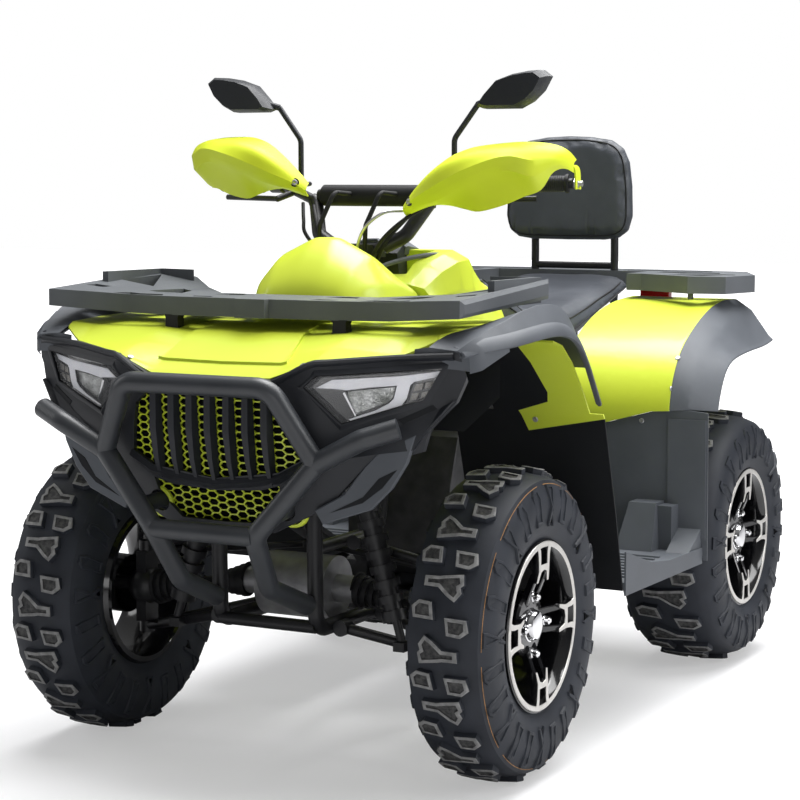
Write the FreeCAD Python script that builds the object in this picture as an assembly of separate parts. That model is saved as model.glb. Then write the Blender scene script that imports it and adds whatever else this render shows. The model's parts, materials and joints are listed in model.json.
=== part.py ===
"""Utility quad bike with its front rack, rear rack, bumper and backrest.

Millimetres. +X is the rider's left, -Y is forward, +Z is up.
The origin is on the ground, at the middle of the vehicle's length and width.
"""
import FreeCAD, Part
import math
import os

V = FreeCAD.Vector

# Wheels and axles
FRONT_AXLE_Y = -580.0
REAR_AXLE_Y = 675.0
TYRE_R = 310.0
RIM_R = 152.4
FLANGE_R = 170.0
FRONT_TRACK_X = 455.0
FRONT_TYRE_HALF = 92.0
FRONT_RIM_HALF = 84.0
REAR_TRACK_X = 435.0
REAR_TYRE_HALF = 127.0
REAR_RIM_HALF = 118.0
RIM_WALL = 9.0
RING_R = 157.0
DISH = 27.0
LUG_H = 12.0
TREAD_TURNS = 8
BIG_LUG = [(-38, 19), (-9, 19), (0, 21), (36, 26), (40, 5), (34, 0), (38, -11), (27, -28),
           (11, -19), (-9, -2), (-37, -1)]
SMALL_LUG = [(-21, 17), (21, 15), (24, -7), (11, -19), (-15, -16)]
SMALL_LUG_PLACES = ((-32, 47), (32, 75))
HUB_R = 46.0
SPINDLE_R = 14.0
REAR_CARRIER_X = 338.0

# Running gaps
SEAT_GAP = 0.3
BORE_GAP = 0.3

# Steering
KINGPIN_X = 385.0
BALL_R = 16.0
UPRIGHT_LOW = 235.0
UPRIGHT_HIGH = 385.0
STEER_ARM = 85.0
COLUMN_FOOT = V(0, -585, 470)
COLUMN_RAKE = math.radians(25.8)
COLUMN_R = 14.0
COLUMN_TOP = 586.0
PITMAN_LENGTH = 73.0
PITMAN_SPREAD = 24.0
ROD_R = 7.0
BAR_R = 11.0
GRIP_R = 16.0
REAR_DECK_TOP = 950.0
FRONT_DECK_TOP = 942.0

# Chassis
FRAME_R = 16.0
BRACE_R = 13.0
REAR_CROSS_Z = 285.0
SHOCK_FRONT_Y = -650.0
SHOCK_REAR_Y = 755.0
SHOCK_FOOT_Z = 267.5
LOWER_ARM_R = 11.0
UPPER_ARM_R = 10.0
DIFF_REACH = 128.0
FLOOR_LOW = 314.0
FLOOR_TOP = 330.0
RAIL_X = 110.0
RAIL_MID_X = 150.0
RAIL_Z = 285.0
RAIL_MID_Z = 262.0
ENGINE_HALF = 128.0
ENGINE_Y = (-150.0, 235.0)
ENGINE_Z = (290.0, 610.0)
SKID_T = 5.0
WALL_SEAM = 700.0
BUMPER_R = 20.0
BRACKET_R = 16.0
WALL = 4.0
HEEL_Y = REAR_AXLE_Y - TYRE_R - 65
DIFF_Z = TYRE_R + 35


def axis_point(u):
    """A point on the steering axis, u above the column's foot."""
    return COLUMN_FOOT + V(0, math.sin(COLUMN_RAKE), math.cos(COLUMN_RAKE)) * u


def box(x0, x1, y0, y1, z0, z1):
    return Part.makeBox(x1 - x0, y1 - y0, z1 - z0, V(x0, y0, z0))


def cylinder(start, end, radius):
    start, end = V(*start), V(*end)
    return Part.makeCylinder(radius, (end - start).Length, start, end - start)


def fuse(shapes):
    """Fuse a list of shapes to one."""
    whole = shapes[0]
    if len(shapes) > 1:
        whole = whole.fuse(shapes[1:])
    return whole.removeSplitter()


def mirror(shape):
    """The same shape on the other side of the vehicle."""
    return shape.mirror(V(0, 0, 0), V(1, 0, 0))


def polygon(points):
    return Part.makePolygon([V(*p) for p in points] + [V(*points[0])])


def prism(points, direction):
    """Extrude a closed flat outline."""
    return Part.Face(polygon(points)).extrude(V(*direction))


def tube(points, radius, bend):
    """A round bar along straight runs joined by tangent arcs."""
    points = [V(*p) for p in points]
    edges = []
    last = points[0]
    for i in range(1, len(points) - 1):
        before = (points[i - 1] - points[i]).normalize()
        after = (points[i + 1] - points[i]).normalize()
        half = before.getAngle(after) / 2
        reach = bend / math.tan(half)
        start = points[i] + before * reach
        end = points[i] + after * reach
        middle = (before + after).normalize()
        top = points[i] + middle * (bend / math.sin(half) - bend)
        if (start - last).Length > 0.01:
            edges.append(Part.LineSegment(last, start).toShape())
        edges.append(Part.Arc(start, top, end).toShape())
        last = end
    if (points[-1] - last).Length > 0.01:
        edges.append(Part.LineSegment(last, points[-1]).toShape())
    first = (points[1] - points[0]).normalize()
    ring = Part.Wire(Part.makeCircle(radius, points[0], first))
    return Part.Wire(edges).makePipeShell([ring], True, False)


def offset_line(points, wall):
    """The open line moved sideways by wall, to the left of its direction."""
    moved = []
    for i, (a, b) in enumerate(points):
        a0, b0 = points[max(i - 1, 0)]
        a1, b1 = points[min(i + 1, len(points) - 1)]
        length = math.hypot(a1 - a0, b1 - b0)
        moved.append((a - (b1 - b0) / length * wall, b + (a1 - a0) / length * wall))
    return moved


def thin_section(points, wall, place, smooth):
    """Closed wire of a thin wall: the line, its offset and two straight ends."""
    outer = [place(*p) for p in points]
    inner = [place(*p) for p in offset_line(points, wall)]
    if not smooth:
        return Part.makePolygon(outer + inner[::-1] + [outer[0]])
    edges = []
    for line in (outer, inner[::-1]):
        curve = Part.BSplineCurve()
        curve.interpolate(line)
        edges.append(curve.toShape())
    edges.insert(1, Part.LineSegment(outer[-1], inner[-1]).toShape())
    edges.append(Part.LineSegment(inner[0], outer[0]).toShape())
    return Part.Wire(edges)


def sheet_across(sections, wall, smooth=True):
    """Sheet lofted along X: each section is x and a line of (y, z)."""
    wires = []
    for x, line in sections:
        wires.append(thin_section(line, wall, lambda a, b, x=x: V(x, a, b), smooth))
    return Part.makeLoft(wires, True, True)


def sheet_along(sections, wall, smooth=False):
    """Sheet lofted along Y: each section is y and a line of (x, z)."""
    wires = []
    for y, line in sections:
        wires.append(thin_section(line, wall, lambda a, b, y=y: V(a, y, b), smooth))
    return Part.makeLoft(wires, True, True)


def both_ways(half):
    """A line from the middle outward, made whole by its mirror image."""
    return [(-a, b) for a, b in reversed(half) if a > 0] + list(half)


def solid_along(sections, ruled=True):
    """Closed solid lofted along Y from outlines of (x, z)."""
    wires = []
    for y, line in sections:
        wires.append(polygon([(a, y, b) for a, b in line]))
    return Part.makeLoft(wires, True, ruled)


def trimmed_below(post, ceiling):
    """The part of a post under a piece that rests on it."""
    lowered = ceiling.copy()
    lowered.translate(V(0, 0, -SEAT_GAP))
    pieces = post.cut(lowered).Solids
    return min(pieces, key=lambda piece: piece.BoundBox.ZMin)


def pair(shape):
    """The shape and its mirror image, as two solids of one node."""
    return Part.makeCompound([shape, mirror(shape)])


# Wheels


def tyre(axle_y, track_x, half, rim_half):
    """Round carcass with its raised lugs."""
    bead = rim_half - RIM_WALL - SEAT_GAP
    seat = RIM_R + SEAT_GAP
    side = [(bead, FLANGE_R + 4), (half - 12, FLANGE_R + 12), (half - 5, 200), (half, 235),
            (half - 3, 252), (half - 9, 270), (half * 0.78, TYRE_R - 25),
            (half * 0.6, TYRE_R - 17), (half * 0.35, TYRE_R - 13)]
    line = [(-bead, seat), (bead, seat)] + side + [(0, TYRE_R - LUG_H)]
    line += [(-a, r) for a, r in reversed(side)]
    return spun(line, axle_y, track_x).fuse(tread(half / FRONT_TYRE_HALF, axle_y, track_x))


def tread(wide, axle_y, track_x):
    """Big and small lugs all round, in pairs that are each other turned half round."""
    lugs = []
    for i in range(2 * TREAD_TURNS):
        sign = 1 if i % 2 else -1
        angle = 180.0 * i / TREAD_TURNS
        spot = (axle_y, track_x, angle)
        lugs.append(lug([(sign * wide * u, sign * t) for u, t in BIG_LUG], TYRE_R, spot))
        for across, drop in SMALL_LUG_PLACES:
            turned = 1 if across > 0 else -1
            outline = [(sign * wide * (across + turned * u), sign * turned * t)
                       for u, t in SMALL_LUG]
            lean = angle - math.degrees(drop / TYRE_R)
            lugs.append(lug(outline, TYRE_R - 2, (axle_y, track_x, lean)))
    return lugs


def lug(outline, top_r, spot):
    """One lug, raised from inside the carcass at an angle above the front."""
    axle_y, track_x, angle = spot
    root_r = TYRE_R - 30
    body = prism([(track_x + u, axle_y - root_r, TYRE_R + t) for u, t in outline],
                 (0, root_r - top_r, 0))
    body.rotate(V(track_x, axle_y, TYRE_R), V(1, 0, 0), -angle)
    return body


def spun(line, axle_y, track_x):
    """Revolve a line of (x, radius) about the axle."""
    points = [(track_x + a, axle_y, TYRE_R + r) for a, r in line]
    face = Part.Face(polygon(points))
    return face.revolve(V(0, axle_y, TYRE_R), V(1, 0, 0), 360)


def spoke(plane_x, axle_y, angle):
    """One spoke: a forked outer end at the ring and two arms down to the hub."""
    legs = []
    for side in (1, -1):
        fork = [(140, 26.5), (122, 24.5), (110, 24), (88, 28), (88, 22), (108, 14), (112, 0),
                (122, 0), (122, 16.5), (140, 16.5)]
        face = [(RING_R + 1, 38), (RING_R - 6, 30)] + fork + [(RING_R - 6, 18), (RING_R + 1, 21)]
        web = [(RIM_R - 3, 29)] + fork + [(RIM_R - 3, 18)]
        for outline, thick in ((face, 7), (web, 16)):
            points = [(plane_x, axle_y + side * w, TYRE_R + r) for r, w in outline]
            legs.append(prism(points, (-thick, 0, 0)))
        arm = []
        for r, high, low, w0, w1 in ((100, 3, 18, 15, 26), (34, 28, 44, 8, 24)):
            arm.append(polygon([(plane_x - high, axle_y + side * w0, TYRE_R + r),
                                (plane_x - high, axle_y + side * w1, TYRE_R + r),
                                (plane_x - low, axle_y + side * w1, TYRE_R + r),
                                (plane_x - low, axle_y + side * w0, TYRE_R + r)]))
        legs.append(Part.makeLoft(arm, True, True))
    blade = fuse(legs)
    blade.rotate(V(plane_x, axle_y, TYRE_R), V(1, 0, 0), angle)
    return blade


def rim(axle_y, track_x, half, hub_reach):
    """Alloy rim: barrel with its outer ring, dished forked spokes, hub and cap."""
    inner = RIM_R - RIM_WALL
    barrel = [(-half, FLANGE_R), (-half + 5, FLANGE_R), (-half + RIM_WALL, RIM_R),
              (half - RIM_WALL, RIM_R), (half - 5, FLANGE_R), (half - 2, FLANGE_R),
              (half - 2, RING_R + 9), (half, RING_R + 9), (half, RING_R), (half - 6, RING_R - 5),
              (half - 16, inner), (-half + RIM_WALL, inner), (-half, FLANGE_R - 7)]
    parts = [spun(barrel, axle_y, track_x)]
    plane_x = track_x + half
    for i in range(4):
        parts.append(spoke(plane_x, axle_y, 90 * i))
    hub_x = plane_x - DISH
    hub = [(half - DISH, 0), (half - DISH, 60), (half - DISH - 14, 60), (half - DISH - 20, HUB_R),
           (half - 22 - hub_reach, HUB_R), (half - 22 - hub_reach, 0)]
    cap = [(half - DISH - 1, 0), (half - DISH - 1, 32), (half - 20, 30), (half - 13, 26),
           (half - 10, 18), (half - 10, 0)]
    for i in range(4):
        turn = math.radians(90 * i)
        y, z = axle_y + 56 * math.sin(turn), TYRE_R + 56 * math.cos(turn)
        parts.append(cylinder((hub_x - 5, y, z), (hub_x + 14, y, z), 9))
    bore = cylinder((plane_x - 34, axle_y, TYRE_R), (plane_x - 27 - hub_reach, axle_y, TYRE_R),
                    SPINDLE_R + BORE_GAP)
    parts += [spun(hub, axle_y, track_x), spun(cap, axle_y, track_x)]
    return fuse(parts).cut(bore)


# Front corner: knuckle, arms, rods


def knuckle():
    """Left steering knuckle with its spindle and steering arm."""
    axle = (KINGPIN_X, FRONT_AXLE_Y, TYRE_R)
    upright = box(KINGPIN_X - 12, KINGPIN_X + 12, FRONT_AXLE_Y - 24, FRONT_AXLE_Y + 24,
                  UPRIGHT_LOW, UPRIGHT_HIGH)
    bell = Part.makeSphere(40, V(*axle))
    spindle_end = FRONT_TRACK_X + FRONT_RIM_HALF - 22 - 14
    spindle = cylinder(axle, (spindle_end, FRONT_AXLE_Y, TYRE_R), SPINDLE_R)
    tip_y = FRONT_AXLE_Y + STEER_ARM
    arm = prism([(KINGPIN_X - 12, FRONT_AXLE_Y, 352), (KINGPIN_X + 12, FRONT_AXLE_Y, 352),
                 (KINGPIN_X + 9, tip_y, 352), (KINGPIN_X - 9, tip_y, 352)], (0, 0, 12))
    eye = cylinder((KINGPIN_X, tip_y, 352), (KINGPIN_X, tip_y, 364), 12)
    return fuse([upright, bell, spindle, arm, eye])


def arm_pair(pivot_ys, rail_face_x, pivot_z, ball, radius):
    """Wishbone from two pivots beside a rail to one ball joint."""
    parts = []
    pivot_x = rail_face_x + radius + 5 + SEAT_GAP
    for y in pivot_ys:
        parts.append(cylinder((pivot_x, y, pivot_z), ball, radius))
        parts.append(cylinder((pivot_x, y - 16, pivot_z), (pivot_x, y + 16, pivot_z), radius + 5))
    return parts


def front_arms():
    """Left upper and lower wishbones and the cap under each ball joint."""
    low_z = UPRIGHT_LOW - SEAT_GAP
    high_z = UPRIGHT_HIGH + SEAT_GAP
    lower = arm_pair((-670, -490), RAIL_X + FRAME_R, RAIL_Z,
                     (KINGPIN_X, FRONT_AXLE_Y, low_z - 12), LOWER_ARM_R)
    lower.append(box(250, 274, -664, -618, 246, SHOCK_FOOT_Z - 3))
    lower.append(cylinder((KINGPIN_X, FRONT_AXLE_Y, low_z - 24),
                          (KINGPIN_X, FRONT_AXLE_Y, low_z), BALL_R))
    upper = arm_pair((-612, -548), RAIL_X + FRAME_R, 450,
                     (KINGPIN_X, FRONT_AXLE_Y, high_z + 12), UPPER_ARM_R)
    upper.append(cylinder((KINGPIN_X, FRONT_AXLE_Y, high_z),
                          (KINGPIN_X, FRONT_AXLE_Y, high_z + 22), BALL_R))
    near_ball = box(340, 600, -700, -450, low_z, high_z)
    return Part.makeCompound([fuse(lower).cut(near_ball), fuse(upper).cut(near_ball)])


def tie_rod():
    """Left tie rod, its eye on the steering arm and its free inner eye."""
    tip_y = FRONT_AXLE_Y + STEER_ARM
    low = 364 + SEAT_GAP
    eye = cylinder((KINGPIN_X, tip_y, low), (KINGPIN_X, tip_y, low + 16), 12)
    inner = (PITMAN_SPREAD, -519, 419)
    rod = cylinder((KINGPIN_X, tip_y, low + 8), inner, ROD_R)
    ring = cylinder((inner[0], inner[1], 412), (inner[0], inner[1], 425), 11)
    return fuse([eye, rod, ring])


def half_shaft(axle_y, diff_x, diff_z, bell_x, end_tool):
    """Left half shaft with a ribbed boot at each end, cut to its two seats."""
    start = V(diff_x - 8, axle_y, diff_z)
    end = V(bell_x, axle_y, TYRE_R)
    run = (end - start).normalize()
    length = (end - start).Length
    line = [(0, 0)]
    ribs = 5
    boot = 76.0
    for i in range(ribs):
        r = 38 - 3.5 * i
        line += [(boot * i / ribs, r), (boot * (i + 0.5) / ribs, r), (boot * (i + 0.5) / ribs, r - 6)]
    line += [(boot, 13)]
    mirrored = [(length - a, r) for a, r in reversed(line)]
    points = [(a, 0, r) for a, r in line + mirrored]
    shaft = Part.Face(polygon(points)).revolve(V(0, 0, 0), V(1, 0, 0), 360)
    tilt = math.degrees(math.atan2(run.z, run.x))
    shaft.rotate(V(0, 0, 0), V(0, 1, 0), -tilt)
    shaft.translate(start)
    inboard = box(0, diff_x + SEAT_GAP, axle_y - 100, axle_y + 100, 200, 500)
    return shaft.cut(inboard).cut(end_tool)


# Chassis


def side_frame():
    """Left side of the welded tube frame: its rails and uprights."""
    front = tube([(RAIL_MID_X, 0, RAIL_MID_Z), (RAIL_MID_X, -230, RAIL_MID_Z),
                  (RAIL_X, -430, RAIL_Z), (RAIL_X, -725, RAIL_Z), (RAIL_X, -735, 600),
                  (RAIL_X, -420, 640), (RAIL_X, -150, 690), (RAIL_X, 0, 680)], FRAME_R, 40)
    rear = tube([(RAIL_MID_X, 0, RAIL_MID_Z), (RAIL_MID_X, 430, RAIL_MID_Z), (RAIL_X, 560, 275),
                 (RAIL_X, 800, REAR_CROSS_Z), (RAIL_X, 820, 700), (RAIL_X, 300, 660),
                 (RAIL_X, 0, 680)], FRAME_R, 40)
    middle = tube([(RAIL_X, -728, 450), (RAIL_X, -455, 450), (RAIL_X, -423, 637)], BRACE_R, 40)
    post = cylinder((RAIL_MID_X, 300, RAIL_MID_Z), (RAIL_X, 300, 660), BRACE_R)
    rear_middle = cylinder((RAIL_X, 470, 470), (RAIL_X, 808, 470), BRACE_R)
    rear_post = tube([(RAIL_X, 560, 275), (RAIL_X, 470, 470), (RAIL_X, 440, 668)], BRACE_R, 30)
    ring = Part.makeCompound([front, rear])
    stays = between_rails(Part.makeCompound([middle, post, rear_post]), ring)
    strut = between_rails(rear_middle, Part.makeCompound([front, rear, rear_post]))
    return Part.makeCompound([front, rear] + stays.Solids + strut.Solids)


def frame_crosses(sides):
    """Cross members between the frame's sides, one with the column's bush."""
    bore = cylinder(tuple(axis_point(0)), tuple(axis_point(400)), COLUMN_R + BORE_GAP)
    bush = [cylinder(tuple(axis_point(178)), tuple(axis_point(222)), COLUMN_R + 9)]
    for x in (-19, 19):
        bush.append(cylinder((x, -485, 650), (x, -425, 640), 8))
    bars = []
    for y, z in ((-735, 600), (-725, 292), (-430, RAIL_Z), (-425, 640), (300, 660), (820, 690),
                 (800, REAR_CROSS_Z)):
        bars.append(cylinder((-RAIL_X, y, z), (RAIL_X, y, z), BRACE_R))
    for y in (-200, 400):
        bars.append(cylinder((-RAIL_MID_X, y, RAIL_MID_Z), (RAIL_MID_X, y, RAIL_MID_Z), BRACE_R))
    return between_rails(fuse(bars + bush).cut(bore), sides)


def between_rails(bars, sides):
    """The bars without their ends inside the frame's sides."""
    pieces = bars.cut(sides).Solids
    return Part.makeCompound([piece for piece in pieces if piece.BoundBox.DiagonalLength > 60])


def frame_brackets(sides):
    """Shock heads and footboard pegs on the frame's sides."""
    brackets = [cylinder((RAIL_X, SHOCK_FRONT_Y, 605), (188, SHOCK_FRONT_Y, 605), 10),
                cylinder((RAIL_X, SHOCK_REAR_Y, 690), (188, SHOCK_REAR_Y, 690), 10)]
    peg_z = FLOOR_LOW - SEAT_GAP - BRACE_R
    for y in (0, 220):
        brackets.append(tube([(RAIL_MID_X, y, RAIL_MID_Z), (230, y, peg_z), (500, y, peg_z)], BRACE_R, 30))
    return pair(between_rails(Part.makeCompound(brackets), sides))


def frame_posts(sides, hood_skin, tank, cushion, fender):
    """Posts on the frame that hold the hood, tank cover, seat and rear fenders."""
    posts = [
        trimmed_below(cylinder((RAIL_X, -690, 604), (RAIL_X, -690, 1000), 10), hood_skin),
        trimmed_below(cylinder((RAIL_X, 0, 678), (RAIL_X, 0, 900), 10), tank),
        trimmed_below(cylinder((RAIL_X, 250, 665), (RAIL_X, 250, 900), 10), cushion),
        trimmed_below(cylinder((RAIL_X, 600, 684), (RAIL_X, 600, 950), 10), cushion),
        trimmed_below(tube([(RAIL_X, 700, 691), (260, 700, 740), (260, 700, 950)], 8, 40), fender),
    ]
    return pair(between_rails(Part.makeCompound(posts), sides))


def engine():
    """Engine and gearbox as one block."""
    y0, y1 = ENGINE_Y
    z0, z1 = ENGINE_Z
    profile = [(0, y0 + 60, z0), (0, y1, z0), (0, y1, z0 + 190), (0, y1 - 90, z1),
               (0, y0 + 40, z1), (0, y0, z1 - 110), (0, y0, z0 + 60)]
    block = prism(profile, (2 * ENGINE_HALF, 0, 0))
    block.translate(V(-ENGINE_HALF, 0, 0))
    feet = []
    for y in (-110, 150):
        foot = box(100, RAIL_MID_X + 10, y, y + 40, RAIL_MID_Z + FRAME_R + SEAT_GAP, z0 + 25)
        feet += [foot, mirror(foot)]
    return fuse([block] + feet)


def differential(axle_y, z, half, reach, nose):
    """Axle gearbox: round case, side flanges and the drive shaft's nose."""
    case = cylinder((-half, axle_y, z), (half, axle_y, z), 66)
    flange = cylinder((-reach, axle_y, z), (reach, axle_y, z), 28)
    snout = Part.makeCone(52, 34, abs(nose), V(0, axle_y, z), V(0, math.copysign(1, nose), 0))
    return fuse([case, flange, snout])


def skid_plate():
    """Flat belly plate under the lower rails."""
    top = RAIL_MID_Z - FRAME_R - SEAT_GAP
    half = RAIL_MID_X + 8
    return prism([(-half, -225, top), (half, -225, top), (half, 425, top), (-half, 425, top)],
                 (0, 0, -SKID_T))


def front_bumper():
    """Tubular bumper: hoop, side bars, lower cross tube and feet."""
    hoop = tube([(234, -949, 650), (161, -994, 790), (-161, -994, 790), (-234, -949, 650)],
                BUMPER_R, 45)
    parts = [hoop]
    for s in (1, -1):
        parts.append(tube([(s * 234, -949, 650), (s * 112, -965, 507), (s * 99, -889, 396),
                           (s * 105, -751.8, 340.7)], BUMPER_R, 40))
        parts.append(tube([(s * 234, -949, 650), (s * 330, -955, 700), (s * 395, -930, 722)],
                          BUMPER_R, 40))
        parts.append(Part.makeSphere(BUMPER_R, V(s * 234, -949, 650)))
        parts.append(cylinder((s * 150, -950, 548), (s * 118, -749, 560), BRACKET_R))
    parts.append(cylinder((-112, -965, 507), (112, -965, 507), BUMPER_R - 1))
    return fuse(parts)


# Body panels


def hood_surface(y):
    """Half section of the hood at y: (x, z) from the middle outward."""
    table = {
        -952: [(0, 795), (130, 797), (215, 815), (360, 815), (430, 815)],
        -925: [(0, 810), (130, 812), (215, 836), (360, 830), (430, 830)],
        -852: [(0, 846), (130, 848), (215, 858), (360, 849), (430, 852)],
        -800: [(0, 872), (130, 873), (215, 880), (360, 880), (430, 888)],
        -700: [(0, 888), (130, 888), (215, 889), (360, 890), (430, 893)],
        -640: [(0, 892), (130, 892), (215, 892), (360, 892), (430, 895)],
        -404: [(0, 892), (130, 892), (215, 892), (360, 892), (430, 895)],
    }
    return table[y]


HOOD_STATIONS = (-952, -925, -852, -800, -700, -640, -404)
HOOD_OUTLINE = [(0, -942), (130, -940), (215, -925), (360, -852), (415, -815), (415, -470),
                (330, -405), (0, -405)]


def hood_sheet(wall, grow):
    """The hood's skin, wall thick, its outline grown by grow."""
    skin = sheet_along([(y, both_ways(hood_surface(y))) for y in HOOD_STATIONS], -wall)
    half = [(x + grow * (x > 0), y - grow) for x, y in HOOD_OUTLINE]
    whole = half + [(-x, y) for x, y in reversed(half) if x > 0]
    return skin.common(prism([(x, y, 700) for x, y in whole], (0, 0, 400)))


def hood():
    """Yellow hood between the nose, the flares and the tank, with a raised middle."""
    sections = [(y, both_ways(hood_surface(y))) for y in HOOD_STATIONS]
    slab = sheet_along(sections, HOOD_RISE)
    low = polygon([(-152, -906, 700), (152, -906, 700), (118, -700, 700), (-118, -700, 700)])
    high = polygon([(-132, -888, 1000), (132, -888, 1000), (100, -716, 1000), (-100, -716, 1000)])
    return hood_sheet(WALL, 0).fuse(slab.common(Part.makeLoft([low, high], True, True)))


def pod():
    """Yellow cover in front of the handlebar, standing on the hood."""
    base = 892 + SEAT_GAP
    stations = [
        (-597, [(98, base), (94, 906), (84, 916), (0, 920)]),
        (-580, [(122, base), (114, 932), (88, 962), (0, 968)]),
        (-550, [(146, base), (126, 960), (92, 1000), (0, 1008)]),
        (-515, [(166, base), (140, 972), (90, 1030), (0, 1040)]),
        (-482, [(180, base), (150, 975), (72, 1050), (0, 1058)]),
        (-448, [(188, base), (165, 965), (84, 1030), (0, 1044)]),
        (-410, [(194, base), (182, 952), (100, 996), (0, 1006)]),
    ]
    rings = [(y, [(-x, z) for x, z in half] + [(x, z) for x, z in reversed(half) if x > 0])
             for y, half in stations]
    return solid_along(rings)


def fascia_line(level):
    """Plan half line of the nose at a level: (x, y)."""
    table = {
        862: [(0, -948), (130, -946), (215, -931), (360, -858), (469, -836)],
        800: [(0, -953), (130, -951), (215, -940), (360, -880), (482, -815)],
        700: [(0, -945), (130, -943), (215, -930), (360, -875), (470, -830)],
        600: [(0, -925), (130, -922), (215, -905), (360, -850), (440, -815)],
        500: [(0, -890), (130, -886), (215, -870), (360, -820), (420, -790)],
    }
    return table[level]


FASCIA_LEVELS = (862, 800, 700, 600, 500)


def nose_sheet(wall, depth=0.0):
    """The nose's curved wall, wall thick, from depth behind its outer face."""
    wires = []
    for level in FASCIA_LEVELS:
        line = offset_line(both_ways(fascia_line(level)), depth)
        wires.append(thin_section(line, wall, lambda a, b, z=level: V(a, b, z), False))
    return Part.makeLoft(wires, True, True)


NOSE_WALL = 12.0
HOOD_RISE = 5.0
CELL_X = 20.0
CELL_Z = 15.0
STRIP = 2.8
BLADE_XS = (-123, -82, -41, 0, 41, 82, 123)
FASCIA_OUTLINE = [(0, 799), (130, 800), (215, 837), (360, 851), (469, 857), (482, 820),
                  (462, 765), (420, 715), (405, 672), (300, 640), (225, 560), (110, 503), (0, 503)]
LAMP_OUTLINE = [(203, 790), (225, 812), (440, 828), (409, 769), (268, 722)]
GRILLE_TOP = [(0, 772), (140, 768), (168, 745), (186, 650), (140, 625), (0, 606)]
GRILLE_LOW = [(0, 582), (100, 588), (140, 600), (135, 570), (92, 521), (0, 519)]


def scaled(outline, factor):
    """An outline scaled about its middle."""
    mid_x = sum(x for x, _ in outline) / len(outline)
    mid_z = sum(z for _, z in outline) / len(outline)
    return [(mid_x + (x - mid_x) * factor, mid_z + (z - mid_z) * factor) for x, z in outline]


def front_prism(outline, y0=-1100, y1=-700):
    """Prism along Y over a front-view outline of the left half, both sides."""
    half = prism([(x, y0, z) for x, z in outline], (0, y1 - y0, 0))
    return half, mirror(half)


def bracket_holes(radius):
    """Holes for the bumper's two bracket tubes."""
    hole = cylinder((150, -1000, 546), (118, -700, 562), radius)
    return fuse([hole, mirror(hole)])


def nose_y(x, z):
    """Y of the nose's outer face in its middle part."""
    lines = [(level, fascia_line(level)) for level in sorted(FASCIA_LEVELS)]
    for (z0, low), (z1, high) in zip(lines, lines[1:]):
        if z0 <= z <= z1:
            ys = []
            for line in (low, high):
                for (x0, y0), (x1, y1) in zip(line, line[1:]):
                    if x0 <= abs(x) <= x1:
                        ys.append(y0 + (y1 - y0) * (abs(x) - x0) / (x1 - x0))
                        break
            return ys[0] + (ys[1] - ys[0]) * (z - z0) / (z1 - z0)


def fascia():
    """Black nose with lamp and grille openings."""
    left, right = front_prism(FASCIA_OUTLINE)
    wall = nose_sheet(NOSE_WALL).common(fuse([left, right]))
    wall = wall.cut(hood_sheet(WALL + 2 * SEAT_GAP, 2 * SEAT_GAP)).cut(bracket_holes(BRACKET_R + 6))
    wall = max(wall.Solids, key=lambda piece: piece.Volume)
    for outline in (LAMP_OUTLINE, GRILLE_TOP, GRILLE_LOW):
        for tool in front_prism(outline):
            wall = wall.cut(tool)
    return wall.fuse(slats())


def honeycomb():
    """Six-sided holes of the mesh, as prisms along Y, in the two openings."""
    half_wide, half_flat = CELL_X * 2 / 3 - STRIP * 0.6, CELL_X / 3 - STRIP * 0.3
    half_high = (CELL_Z - STRIP) / 2
    cell = [(half_wide, 0), (half_flat, half_high), (-half_flat, half_high), (-half_wide, 0),
            (-half_flat, -half_high), (half_flat, -half_high)]
    cells = []
    for column in range(-8, 9):
        for row in range(19):
            x = column * CELL_X
            z = 518 + (row + (column % 2) / 2) * CELL_Z
            cells.append(prism([(x + a, -1000, z + b) for a, b in cell], (0, 300, 0)))
    openings = []
    for outline in (GRILLE_TOP, GRILLE_LOW):
        openings += front_prism(scaled(outline, 0.97))
    return Part.makeCompound(cells).common(Part.makeCompound(openings))


def grille():
    """Yellow honeycomb plate behind the two openings, arched over the brackets."""
    outline = [(0, 785), (150, 782), (185, 755), (200, 645), (150, 575), (104, 512), (0, 510)]
    left, right = front_prism(outline)
    plate = nose_sheet(4, NOSE_WALL + SEAT_GAP).common(fuse([left, right]))
    rims = bracket_holes(BRACKET_R + 10)
    plate = plate.cut(honeycomb().cut(rims)).cut(bracket_holes(BRACKET_R + 6))
    return max(plate.Solids, key=lambda piece: piece.Volume)


def slats():
    """Curved upright slats of the upper opening, narrower at their lower ends."""
    blades = []
    for x in BLADE_XS:
        sections = []
        for z, wide, proud in ((776, 11, 2), (700, 12, 8), (640, 9, 9), (600, 6, 2)):
            y = nose_y(x, z)
            sections.append(polygon([(x - wide, y + 9, z), (x - wide * 0.6, y - proud, z),
                                     (x + wide * 0.6, y - proud, z), (x + wide, y + 9, z)]))
        blades.append(Part.makeLoft(sections, True, True))
    return blades


def headlamps():
    """Lens in each lamp opening, on a wider bucket behind the nose."""
    lens = nose_sheet(NOSE_WALL + 4, 2).common(front_prism(scaled(LAMP_OUTLINE, 0.96))[0])
    bucket = nose_sheet(22, NOSE_WALL + SEAT_GAP).common(front_prism(scaled(LAMP_OUTLINE, 1.06))[0])
    return pair(fuse([lens, bucket]))


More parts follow.
